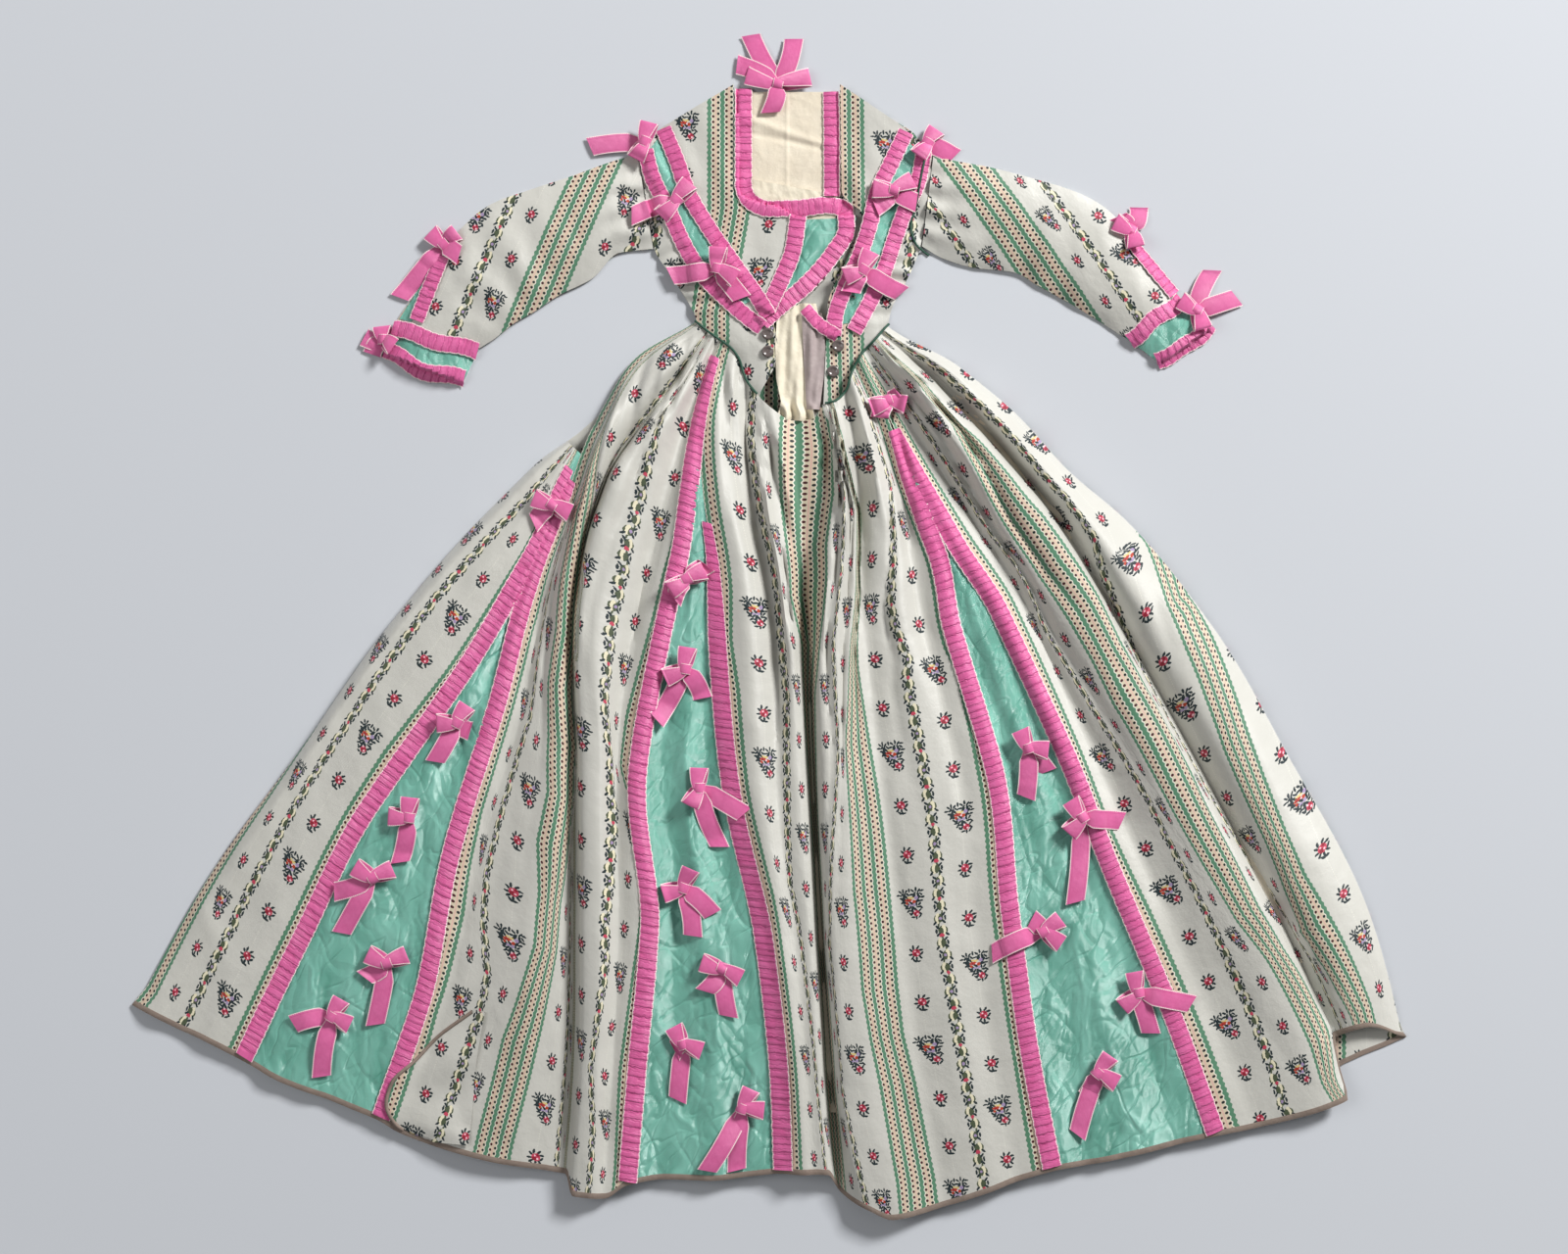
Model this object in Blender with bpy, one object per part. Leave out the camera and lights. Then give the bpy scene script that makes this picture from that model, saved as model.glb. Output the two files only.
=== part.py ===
"""Robe a la francaise of striped and flowered silk, laid out on its back on a flat surface.

The frame has +X to the garment's left as seen from above, +Y towards the neck and +Z up from the surface.
Tables are in millimetres and degrees. The skirt is a fan of long folds about a point near the waist: a fold
line is an angle at each distance from that point, and the cloth between two fold lines is a smooth curve.
"""
import math
from collections import namedtuple

import bmesh
import bpy
import numpy as np
from mathutils import Vector
from mathutils.bvhtree import BVHTree

MM = 0.001

# Cloth
WALL = 1.5
RIBBON_WALL = 1.2
SEAM_GAP = 0.3
RUFFLE_HEIGHT = 2.0
RIBBON_CLEARANCE = 0.7
BACK_TOP = 1.5
EDGE_TOP = 3.3

# Skirt fan
FAN_X = 40.0
FAN_Y = 515.0
SKIRT_RIBBON_HALF = 12.0
ROUNDED_EDGE = 60.0
ROW_FIRST = 300.0
ROW_PITCH = 54.0
ROW_COUNT = 16
HEM_BINDING = 5.0
ANGLE_STEP = 0.02
NORMAL_PROBE = 1.0
STEEPEST = 3.0

# Distances from the fan point at which the fold table gives angles, then heights
ANGLE_STATIONS = (180, 276, 372, 456, 552, 720, 900, 1080, 1248)
HEIGHT_STATIONS = (200, 372, 720, 1080, 1250)

# Each fold line: angles from straight down at the stations, heights over the hidden layers,
# distance of the hem, and the number of strips of cloth up to the next line
Fold = namedtuple("Fold", "name angles heights hem strips")
FOLDS = (
    Fold("side_left", (-41, -47.2, -44.0, -45.6, -45.5, -44.4, -42.6, -41.5, -39.9),
         (0, 0, 0, 0, 0), 1273, 2),
    Fold("a_crest", (-41, -47.2, -43.8, -44.4, -44.2, -43.2, -41.6, -40.2, -38.6),
         (4, 8, 12, 9, 6), 1266, 2),
    Fold("a_garland", (-41, -47.2, -43.7, -43.2, -42.8, -42.2, -40.6, -38.7, -37.1),
         (4, 7, 6, 4, 3), 1260, 2),
    Fold("a_swell", (-41, -47.2, -43.6, -41.8, -40.6, -39.6, -38.4, -36.9, -35.5),
         (4, 8, 11, 8, 6), 1252, 1),
    Fold("a_right", (-41, -47.2, -43.4, -40.0, -37.0, -35.6, -35.5, -34.2, -33.1),
         (4, 6, 6, 5, 4), 1246, 1),
    Fold("gore_left_swell", (-41, -47.2, -43.3, -39.6, -36.7, -34.1, -33.4, -31.7, -30.6),
         (4, 5, 9, 9, 6), 1243, 2),
    Fold("gore_left_dip", (-41, -47.2, -43.2, -39.2, -36.3, -32.7, -31.0, -28.5, -27.8),
         (4, 5, 4, 3, 3), 1234, 1),
    Fold("b_left", (-41, -47.2, -43.0, -38.7, -35.9, -31.0, -28.2, -25.4, -24.6),
         (1, 4, 8, 6, 4), 1229, 1),
    Fold("b_valley", (-40, -45.2, -41.8, -37.2, -33.9, -28.6, -26.2, -23.9, -23.4),
         (6, 8, 2, 2, 2), 1233, 2),
    Fold("b_stripe", (-38.5, -42, -40.0, -35.4, -31.0, -24.2, -20.2, -18.6, -18.2),
         (10, 22, 17, 13, 9), 1226, 2),
    Fold("b_foot", (-35.5, -35.0, -35.6, -33.6, -30.0, -22.5, -17.8, -14.9, -13.4),
         (3, 3, 2, 2, 1.5), 1216, 1),
    Fold("b_lip", (-34.4, -33.2, -34.6, -33.0, -29.3, -21.9, -17.3, -14.4, -12.9),
         (8, 18, 21, 21, 15), 1238, 1),
    Fold("b2_crest", (-33.4, -31.2, -31.8, -30.3, -27.0, -19.9, -15.8, -13.3, -12.0),
         (10, 24, 26, 24, 16), 1236, 2),
    Fold("b2_valley", (-32.2, -28.4, -25.8, -23.6, -21.4, -18.0, -14.2, -12.2, -11.1),
         (3, 4, 10, 12, 9), 1234, 1),
    Fold("b_right", (-31.2, -26.0, -21.4, -18.9, -17.8, -16.0, -11.8, -10.7, -9.9),
         (8, 18, 16, 12, 8), 1213, 1),
    Fold("gore_centre_left", (-31.2, -26.0, -20.7, -17.2, -15.7, -13.6, -9.6, -8.4, -7.8),
         (8, 17.5, 7, 6, 4), 1199, 1),
    Fold("gore_centre_swell", (-31.2, -26.0, -20.1, -16.0, -13.6, -11.0, -7.0, -5.4, -5.0),
         (8, 17.5, 12, 10, 7), 1193, 1),
    Fold("gore_centre_right", (-31.2, -26.0, -19.5, -14.9, -12.3, -8.9, -4.8, -3.2, -2.8),
         (8, 17.5, 7, 5, 3), 1185, 1),
    Fold("c_left", (-31.2, -26.0, -18.8, -13.6, -10.6, -6.8, -2.9, -1.4, -0.95),
         (8, 18, 14, 10, 6), 1180, 1),
    Fold("c_ridge", (-25.5, -21.0, -15.2, -10.0, -7.0, -4.3, -1.5, -0.2, 0.4),
         (12, 26, 25, 20, 13), 1180, 2),
    Fold("c_shade", (-20.0, -15.5, -10.0, -5.6, -3.4, -2.2, -0.4, 0.5, 0.9),
         (3, 8, 20, 18, 12), 1180, 2),
    Fold("c_brow", (-13.0, -8.0, -5.0, -2.4, -0.9, 0.4, 1.0, 1.4, 1.7),
         (10, 24, 22, 17, 11), 1181, 1),
    Fold("c_hollow", (-3.0, -1.5, -0.5, 0.1, 0.6, 1.1, 1.5, 1.9, 2.4),
         (1, 1, 0, 0, 0), 1205, 1),
    Fold("c2_lip", (5.0, 7.0, 5.6, 3.4, 2.2, 1.8, 2.0, 2.4, 4.0),
         (9, 26, 26, 23, 15), 1226, 1),
    Fold("c2_crest", (8.0, 10.0, 8.4, 6.4, 4.6, 3.3, 3.2, 3.7, 5.2),
         (10, 30, 30, 25, 16), 1240, 2),
    Fold("c2_valley", (11.0, 13.0, 11.0, 9.4, 8.4, 8.0, 7.8, 7.8, 8.4),
         (3, 9, 14, 10, 7), 1232, 2),
    Fold("c2_garland", (15.0, 16.2, 16.2, 13.5, 12.4, 12.0, 10.8, 10.6, 10.8),
         (9, 25, 20, 15, 10), 1224, 1),
    Fold("c2_dip", (17.6, 18.8, 18.7, 17.0, 15.9, 15.4, 13.6, 12.7, 12.6),
         (3, 9, 12, 9, 6), 1218, 1),
    Fold("c_right", (20.0, 21.8, 20.9, 20.9, 19.3, 18.7, 16.3, 14.95, 14.45),
         (7, 17, 15, 11, 7), 1216, 1),
    Fold("gore_right_left", (20.0, 21.8, 21.4, 21.7, 20.9, 20.6, 18.6, 17.6, 17.0),
         (7, 16.5, 8, 7, 5), 1222, 1),
    Fold("gore_right_swell", (20.0, 21.8, 22.0, 22.5, 22.6, 22.3, 21.0, 20.2, 19.5),
         (7, 16.5, 13, 11, 7), 1228, 1),
    Fold("gore_right_right", (20.0, 21.8, 22.5, 23.3, 24.2, 24.0, 22.8, 22.4, 21.9),
         (7, 16.5, 7, 6, 4), 1234, 1),
    Fold("d_left", (20.0, 21.8, 23.1, 24.1, 25.6, 25.5, 24.8, 24.5, 23.95),
         (7, 17, 15, 11, 7), 1242, 1),
    Fold("d_valley", (23.0, 25.4, 27.3, 28.3, 28.7, 28.1, 27.4, 26.9, 26.2),
         (2, 3, 4, 6, 5), 1254, 2),
    Fold("d_ridge", (27.0, 31.0, 33.6, 34.3, 34.4, 33.3, 32.2, 31.6, 30.2),
         (9, 24, 25, 21, 15), 1273, 1),
    Fold("d_brow", (29.6, 35.6, 37.3, 37.6, 37.0, 35.2, 33.8, 32.9, 31.3),
         (7, 17, 18, 17, 13), 1276, 1),
    Fold("d_hollow", (30.8, 38.0, 39.3, 39.4, 38.3, 36.3, 34.8, 33.6, 32.3),
         (1, 0, 1, 1, 1), 1206, 1),
    Fold("d_outer", (32.4, 40.6, 42.0, 42.0, 41.0, 38.9, 37.0, 35.4, 33.8),
         (5, 17, 17, 15, 9), 1212, 4),
    Fold("side_right", (34.8, 44.0, 45.6, 45.0, 45.7, 44.2, 41.4, 39.2, 36.0),
         (0, 0, 0, 0, 0), 1255, 0),
)
FOLD_NAMES = [fold.name for fold in FOLDS]

# Panels of the skirt: first and last fold line, where the panel starts, and its cloth
Panel = namedtuple("Panel", "name first last start cloth")
PANELS = (
    Panel("skirt_panel_left", "side_left", "a_right", 408.0, "brocade"),
    Panel("gore_left", "a_right", "b_left", 408.0, "taffeta"),
    Panel("skirt_panel_left_front", "b_left", "b_right", 0.0, "brocade"),
    Panel("gore_centre", "b_right", "c_left", 300.0, "taffeta"),
    Panel("skirt_panel_centre", "c_left", "c_right", 0.0, "brocade"),
    Panel("gore_right", "c_right", "d_left", 300.0, "taffeta"),
    Panel("skirt_panel_right", "d_left", "side_right", 0.0, "brocade"),
)

# Ruched ribbons over the skirt seams: the seam and the distance at which each starts
SkirtRibbon = namedtuple("SkirtRibbon", "name seam start")
SKIRT_RIBBONS = (
    SkirtRibbon("ribbon_gore_left_outer", "a_right", 570.0),
    SkirtRibbon("ribbon_gore_left_inner", "b_left", 462.0),
    SkirtRibbon("ribbon_gore_centre_left", "b_right", 0.0),
    SkirtRibbon("ribbon_gore_centre_right", "c_left", 408.0),
    SkirtRibbon("ribbon_gore_right_inner", "c_right", 354.0),
    SkirtRibbon("ribbon_gore_right_outer", "d_left", 354.0),
)

# The far seam of the gore on one side of each seam that bounds one
GORE_LINES = {
    ("a_right", 1): "b_left", ("b_left", -1): "a_right", ("b_right", 1): "c_left",
    ("c_left", -1): "b_right", ("c_right", 1): "d_left", ("d_left", -1): "c_right",
}
RIBBON_ROOM = 0.45

# Thickness of the hidden layers along the skirt, their inset from its sides, and the solid that fills them
HIDDEN_THICKNESS = ((180, 5), (276, 12), (420, 23), (720, 26), (960, 20), (1140, 9), (1260, 3))
HIDDEN_INSET = 16.0
HIDDEN_SHARE = 0.72
HIDDEN_EDGE = 3.0
HIDDEN_FROM = 292.0
HIDDEN_TO = 1120.0
HIDDEN_WIDENS = 400.0
HIDDEN_COLUMNS = 12
HIDDEN_ROWS = 9

# The waist seam as angle and distance
WAIST_SEAM = (
    (-48, 196), (-41, 194), (-31, 195), (-26.5, 197), (-22, 205), (-17.5, 226), (-12.5, 242), (-7, 257),
    (-3, 265), (3, 265), (6, 248), (9, 247), (13, 237), (16.5, 216), (22, 198), (28, 190), (36, 182),
    (46, 180),
)
# Back skirt: its waist as a place on the body, its hem as angle and distance, and its rows and columns
BACK_WAIST_Y = 352.0
BACK_HEM = ((-41, 1258), (-30, 1222), (-13, 1198), (-2, 1170), (3, 1170), (10, 1200), (22, 1222),
            (29, 1246), (31.6, 1240), (36, 1256))
BACK_ROWS = (0.0, 0.05, 0.1, 0.16, 0.24, 0.35, 0.5, 0.66, 0.83, 1.0)
BACK_COLUMNS = 13

# Bodice: rise of the laid front above its edge, and half width, by distance from the fan point upwards
BODICE_CENTRE_X = 22.0
BODICE_RISE = ((250, 10), (330, 11), (400, 10), (450, 9), (530, 6), (620, 4), (680, 3))
BODICE_HALF_WIDTH = ((250, 100), (330, 110), (370, 124), (405, 140), (450, 166), (520, 178), (620, 180),
                     (680, 180))
FRONT_DOME_POWER = 2.4

# Lines of the two fronts from shoulder to waist, each a row of x and y, then the angle at which the
# line meets the waist seam
FrontLine = namedtuple("FrontLine", "name points waist_angle strips")
FRONT_LEFT = (
    FrontLine("side", (
        (-159, 575), (-154, 543), (-147, 499), (-140, 460), (-119, 426), (-102, 400), (-92, 382)), -41, 2),
    FrontLine("robing_outer", (
        (-153, 586), (-147, 551), (-125, 507), (-109, 471), (-86, 432), (-62, 396), (-54, 360)), -26.5, 2),
    FrontLine("robing_inner", (
        (-130, 609), (-113, 573), (-99, 531), (-68, 483), (-46, 443), (-22, 392), (-24, 345)), -17.5, 3),
    FrontLine("centre", (
        (-43, 661), (-41, 595), (-39, 527), (25, 497), (18, 444), (4, 384), (12, 333)), -12.5, 0),
)
FRONT_RIGHT = (
    FrontLine("centre", (
        (87, 661), (88, 597), (89, 531), (116, 497), (98, 451), (72, 390), (70, 345)), 6.2, 3),
    FrontLine("robing_inner", (
        (169, 606), (152, 567), (136, 531), (132, 492), (112, 443), (87, 385), (84, 345)), 10.5, 2),
    FrontLine("robing_outer", (
        (190, 584), (184, 551), (169, 515), (155, 477), (141, 435), (120, 393), (104, 352)), 20.0, 2),
    FrontLine("side", (
        (200, 575), (197, 543), (192, 507), (186, 465), (172, 428), (158, 403), (150, 385)), 35.6, 0),
)
FRONT_ROWS = 15

# Stomacher: left and right edge from the neck to the point
STOMACHER_EDGES = (((29, 494), (22, 443), (9, 387)), ((107, 497), (91, 450), (32, 387)))
GAUZE_EDGES = (((6, 390), (4, 340), (10, 300), (24, 252)), ((60, 390), (76, 340), (76, 300), (56, 252)))
GAUZE_LIFT = -1.9
LINING_EDGES = (((-35, 640), (-35, 560), (-35, 490)), ((80, 640), (80, 560), (80, 490)))
BODICE_BACK_EDGES = (
    ((-55, 650), (-134, 604), (-158, 572), (-146, 505), (-139, 462), (-110, 412), (-85, 372), (-70, 352)),
    ((97, 650), (176, 604), (199, 572), (192, 505), (185, 464), (163, 412), (142, 372), (128, 352)),
)

# Sleeves: outer and inner edge from the armhole to the wrist side of the cuff, and the rise of the top
SleeveRow = namedtuple("SleeveRow", "outer inner rise")
SLEEVE_LEFT = (
    SleeveRow((-160.5, 575), (-141.5, 460), 4), SleeveRow((-188, 568), (-183, 455), 9),
    SleeveRow((-247, 547), (-217, 423), 12), SleeveRow((-293, 532), (-257, 403), 12),
    SleeveRow((-341, 514), (-287, 383), 13), SleeveRow((-382, 479), (-313, 368), 14),
    SleeveRow((-416, 429), (-334, 351), 12), SleeveRow((-459, 366), (-354, 338), 9),
)
SLEEVE_RIGHT = (
    SleeveRow((201.5, 575), (187.5, 463), 4), SleeveRow((222, 569), (214, 448), 9),
    SleeveRow((269, 560), (250, 437), 12), SleeveRow((327, 545), (300, 431), 12),
    SleeveRow((378, 529), (331, 414), 13), SleeveRow((420, 503), (367, 394), 14),
    SleeveRow((457, 452), (400, 374), 12), SleeveRow((499, 402), (436, 351), 9),
)
CUFF_LEFT_END = ((-470, 334), (-374, 297))
CUFF_RIGHT_END = ((543, 366), (477, 321))
SLEEVE_STRIPS = 6
SLEEVE_DOME_POWER = 2.2
CUFF_RISE = 9.0
SLEEVE_UNDER_STRIPS = 4

# Cuff: the green band and its two ruffles as shares of the cuff, the upper from a share of the last
# part of the sleeve
CUFF_BAND = (0.02, 0.5, 0.97)
UPPER_RUFFLE_FROM = 0.92
UPPER_RUFFLE_TO = 0.22
LOWER_RUFFLE = (0.72, 1.0)
CUFF_RUFFLE_LIFT = 0.6

# Ribbons over the bodice: route and half width
BodiceRibbon = namedtuple("BodiceRibbon", "name half level route")
LOW, HIGH = 0.15, 2.2
BODICE_RIBBONS = (
    BodiceRibbon("ribbon_neck_left", 10.5, LOW, (
        (-31, 656), (-31, 537), (-24, 519), (0, 508), (36, 509), (72, 513), (93, 507), (94, 485), (77, 451),
        (46, 415), (8, 383), (-2, 375))),
    BodiceRibbon("ribbon_neck_right", 10.0, LOW, ((76, 650), (77, 590), (77, 529))),
    BodiceRibbon("ribbon_stomacher", 9.0, LOW, ((38, 495), (33, 459), (21, 424))),
    BodiceRibbon("ribbon_robing_left_inner", 9.5, HIGH, (
        (-129, 603), (-112, 566), (-99, 529), (-74, 486), (-44, 442), (-12, 397))),
    BodiceRibbon("ribbon_robing_left_outer", 9.5, HIGH, (
        (-149, 577), (-143, 549), (-123, 508), (-105, 467), (-82, 429), (-50, 396), (-31, 380))),
    BodiceRibbon("ribbon_robing_right_inner", 9.5, HIGH, (
        (168, 598), (148, 561), (132, 527), (124, 491), (111, 451), (93, 411), (81, 375), (80, 358))),
    BodiceRibbon("ribbon_robing_right_outer", 9.5, HIGH, (
        (190, 577), (183, 543), (167, 507), (154, 471), (142, 435), (126, 399), (107, 364))),
)
BODICE_RIBBON_PITCH = 38.0
ROUTE_FINENESS = 8

# Green strips between the robing ribbons, and the green gore of the stomacher
GreenStrip = namedtuple("GreenStrip", "name left right")
GREEN_STRIPS = (
    GreenStrip("robing_left", ((-151, 574), (-143, 549), (-123, 508), (-104, 467), (-80, 428), (-37, 387)),
               ((-131, 601), (-113, 566), (-100, 529), (-75, 486), (-46, 442), (-14, 400))),
    GreenStrip("robing_right", ((166, 595), (148, 561), (133, 527), (125, 491), (112, 451), (83, 366)),
               ((188, 574), (182, 543), (166, 507), (153, 471), (141, 435), (104, 369))),
)
GREEN_CLEARANCE = 0.5
GREEN_WALL = 1.0
LINING_WALL = 1.2

BUTTON_RADIUS = 7.5
BUTTON_HEIGHT = 4.0
BUTTON_SIDES = 16
BUTTONS = (("button_left_1", -2, 354), ("button_left_2", -3, 330), ("button_right_1", 86, 340),
           ("button_right_2", 81, 309))

# Ribbon bows: place, turn of the two loops, and turn and length of the two tails
Bow = namedtuple("Bow", "name x y loop_a loop_b tail_a length_a tail_b length_b")
BOWS = (
    Bow("bow_neck", 13, 659, 175, 5, 124, 66, 70, 62),
    Bow("bow_elbow_left", -392, 467, 35, 150, 230, 84, 300, 30),
    Bow("bow_cuff_right", 520, 383, 150, 300, 68, 56, 17, 52),
    Bow("bow_gore_left_1", -379, -123, 30, 170, 238, 50, 330, 22),
    Bow("bow_gore_left_2", -476, -305, 60, 330, 199, 48, 255, 62),
    Bow("bow_gore_left_3", -458, -417, 50, 180, 262, 73, 330, 30),
    Bow("bow_gore_left_4", -530, -472, 90, 330, 200, 50, 258, 74),
    Bow("bow_gore_centre_1", -103, -62, 60, 340, 239, 68, 170, 24),
    Bow("bow_gore_centre_2", -90, -201, 100, 200, 331, 62, 290, 70),
    Bow("bow_gore_centre_3", -106, -320, 110, 190, 312, 56, 280, 60),
    Bow("bow_gore_centre_4", -102, -500, 60, 175, 272, 74, 330, 26),
    Bow("bow_gore_right_1", 379, -237, 120, 200, 353, 52, 262, 92),
    Bow("bow_gore_right_2", 335, -372, 20, 310, 197, 70, 110, 24),
    Bow("bow_gore_right_3", 400, -545, 60, 330, 249, 80, 150, 24),
)
KNOT_RADIUS = 7.0
KNOT_HEIGHT = 9.0
BOW_CLEARANCE = 0.4
BOW_PROBE = 6.0
BOW_LIFT_STEP = 0.4
PROBE_FROM = 500.0
KNOT_SIDES = 8
LOOP_LENGTH = 30.0

# Loop and tail sections: share of the length, half width and thickness
LOOP_SECTIONS = ((0.3, 5.5, 7), (0.7, 11, 9), (1.0, 8, 4))
TAIL_SECTIONS = ((0.3, 5, 3), (0.65, 11, 2), (1.0, 11, 1.6))

# Materials: colour, roughness, metallic
MATERIALS = {
    "brocade": ((0.62, 0.62, 0.60), 0.5, 0.0),
    "taffeta": ((0.23, 0.55, 0.46), 0.35, 0.0),
    "ribbon": ((0.78, 0.17, 0.42), 0.5, 0.0),
    "lining": ((0.72, 0.65, 0.54), 0.8, 0.0),
    "gauze": ((0.68, 0.63, 0.55), 0.7, 0.0),
    "binding": ((0.30, 0.24, 0.20), 0.8, 0.0),
    "button": ((0.16, 0.13, 0.13), 0.3, 0.0),
}


def smooth_curve(knots, values, at):
    """Reads one monotone curve for each place: knots and values have a row for each place."""
    step = np.diff(knots, axis=1)
    slope = np.diff(values, axis=1) / step
    product = slope[:, :-1] * slope[:, 1:]
    total = np.where(product > 0.0, slope[:, :-1] + slope[:, 1:], 1.0)
    inner = np.where(product > 0.0, 2.0 * product / total, 0.0)
    tangent = np.concatenate((slope[:, :1], inner, slope[:, -1:]), axis=1)
    place = np.clip((knots <= at[:, None]).sum(axis=1) - 1, 0, knots.shape[1] - 2)
    row = np.arange(len(at))
    length = step[row, place]
    t = np.clip((at - knots[row, place]) / length, 0.0, 1.0)
    leave = tangent[row, place] * length
    arrive = tangent[row, place + 1] * length
    start = values[row, place] * (1 + 2 * t) * (1 - t) ** 2 + leave * t * (1 - t) ** 2
    return start + values[row, place + 1] * t * t * (3 - 2 * t) + arrive * t * t * (t - 1)


def table_curve(table, at):
    """Reads a table of pairs as one smooth curve."""
    at = np.atleast_1d(np.asarray(at, float))
    knots = np.tile([float(pair[0]) for pair in table], (len(at), 1))
    values = np.tile([float(pair[1]) for pair in table], (len(at), 1))
    return smooth_curve(knots, values, at)


def fold_angles(radius):
    """Angles of all fold lines at each distance from the fan point, in rising order."""
    angles = np.stack([table_curve(list(zip(ANGLE_STATIONS, f.angles)), radius) for f in FOLDS], axis=1)
    for line in range(1, angles.shape[1]):
        angles[:, line] = np.maximum(angles[:, line], angles[:, line - 1] + ANGLE_STEP)
    return angles


def fold_heights(radius):
    """Heights of all fold lines over the hidden layers at each distance."""
    return np.stack([table_curve(list(zip(HEIGHT_STATIONS, f.heights)), radius) for f in FOLDS], axis=1)


def left_side(angles, radius):
    """Left side of the whole skirt: the front panel's edge near the waist, then the side panel's."""
    return np.where(radius < ANGLE_STATIONS[2], angles[:, FOLD_NAMES.index("b_left")], angles[:, 0])


def hidden_rise(angle, radius, angles):
    """Thickness of the hidden layers, rounded off to nothing at the sides of the skirt."""
    inside = np.minimum(angle - left_side(angles, radius), angles[:, -1] - angle)
    share = np.clip(np.radians(inside) * radius / ROUNDED_EDGE, 0.0, 1.0)
    return table_curve(HIDDEN_THICKNESS, radius) * np.sqrt(1.0 - (1.0 - share) ** 2)


def skirt_height(angle, radius):
    """Height of the outer face of the skirt front."""
    angles = fold_angles(radius)
    folds = smooth_curve(angles, fold_heights(radius), angle)
    return EDGE_TOP + hidden_rise(angle, radius, angles) + folds


def fan_to_plan(angle, radius):
    return FAN_X + radius * np.sin(np.radians(angle)), FAN_Y - radius * np.cos(np.radians(angle))


def plan_to_fan(x, y):
    return np.degrees(np.arctan2(x - FAN_X, FAN_Y - y)), np.hypot(x - FAN_X, FAN_Y - y)


def skirt_surface(angle, radius):
    """Points and unit normals of the outer face of the skirt front."""
    x, y = fan_to_plan(angle, radius)
    slopes = []
    for dx, dy in ((NORMAL_PROBE, 0.0), (0.0, NORMAL_PROBE)):
        ahead = skirt_height(*plan_to_fan(x + dx, y + dy))
        behind = skirt_height(*plan_to_fan(x - dx, y - dy))
        slopes.append((ahead - behind) / (2 * NORMAL_PROBE))
    steepness = np.maximum(np.hypot(*slopes) / STEEPEST, 1.0)
    normal = np.stack((-slopes[0] / steepness, -slopes[1] / steepness, np.ones_like(x)), axis=1)
    normal /= np.linalg.norm(normal, axis=1)[:, None]
    return np.stack((x, y, skirt_height(angle, radius)), axis=1), normal


def hem_radius(angles_at_hem, angle):
    return smooth_curve(angles_at_hem, np.tile([float(fold.hem) for fold in FOLDS], (len(angle), 1)), angle)


def ribbon_edge(angles, radius, line, side):
    """Angle of a ribbon's edge beside its seam, narrower where the next fold line is close."""
    room = RIBBON_ROOM * np.abs(angles[:, line + side] - angles[:, line])
    return angles[:, line] + side * np.minimum(np.degrees(SKIRT_RIBBON_HALF / radius), room)


def whole_ribbon_edge(angles, radius, line, side):
    """The same edge, but as wide as the ribbon where a gore has closed to a seam under it."""
    gore = GORE_LINES.get((FOLD_NAMES[line], side))
    edge = ribbon_edge(angles, radius, line, side)
    if gore is None:
        return edge
    width = np.radians(np.abs(angles[:, FOLD_NAMES.index(gore)] - angles[:, line])) * radius
    reach = SKIRT_RIBBON_HALF - width
    return angles[:, line] + side * np.maximum(np.abs(edge - angles[:, line]), np.degrees(reach / radius))


def panel_columns(first, last):
    """Columns of a panel from its first fold line to its last, each a pair of fold lines and a share,
    or a seam with a side for a ribbon's edge."""
    start, end = FOLD_NAMES.index(first), FOLD_NAMES.index(last)
    columns = [("line", start, 0.0)]
    if first != "side_left":
        columns.append(("ribbon", start, 1))
    for line in range(start, end):
        strips = FOLDS[line].strips
        columns += [("line", line, k / strips) for k in range(1, strips)]
        if line + 1 < end:
            columns.append(("line", line + 1, 0.0))
    if last != "side_right":
        columns.append(("ribbon", end, -1))
    columns.append(("line", end, 0.0))
    return columns


def column_angle(column, radius):
    kind, line, value = column
    angles = fold_angles(radius)
    if kind == "ribbon":
        return ribbon_edge(angles, radius, line, value)
    if kind == "whole ribbon":
        return whole_ribbon_edge(angles, radius, line, value)
    following = min(line + 1, len(FOLDS) - 1)
    return angles[:, line] * (1.0 - value) + angles[:, following] * value


def column_radii(column, start):
    """Rows along one column: the waist or a fixed start, the shared rows, and the hem."""
    first = np.array([ROW_FIRST])
    waist = table_curve(WAIST_SEAM, column_angle(column, first))[0] + 2 * SEAM_GAP
    shared = [ROW_FIRST + ROW_PITCH * k for k in range(ROW_COUNT)]
    far = np.array([ANGLE_STATIONS[-1]], float)
    hem = hem_radius(fold_angles(far), column_angle(column, far))[0]
    tail = [0.5 * (shared[-1] + hem), hem]
    if start > 0.0:
        rows = [start] + [r for r in shared if r > start + 1.0]
    else:
        waist = table_curve(WAIST_SEAM, column_angle(column, np.array([waist])))[0] + 2 * SEAM_GAP
        rows = [waist, 0.5 * (waist + ROW_FIRST)] + shared
    return np.array(rows + tail)


def panel_grid(panel):
    """Outer points and normals of a panel, as columns of rows."""
    columns = panel_columns(panel.first, panel.last)
    points, normals = [], []
    for place, column in enumerate(columns):
        radius = column_radii(column, panel.start)
        angle = column_angle(column, radius)
        if place == 0:
            angle = angle + np.degrees(0.5 * SEAM_GAP / radius)
        if place == len(columns) - 1:
            angle = angle - np.degrees(0.5 * SEAM_GAP / radius)
        outer, normal = skirt_surface(angle, radius)
        points.append(outer)
        normals.append(normal)
    return np.array(points), np.array(normals)


ground = []


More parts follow.
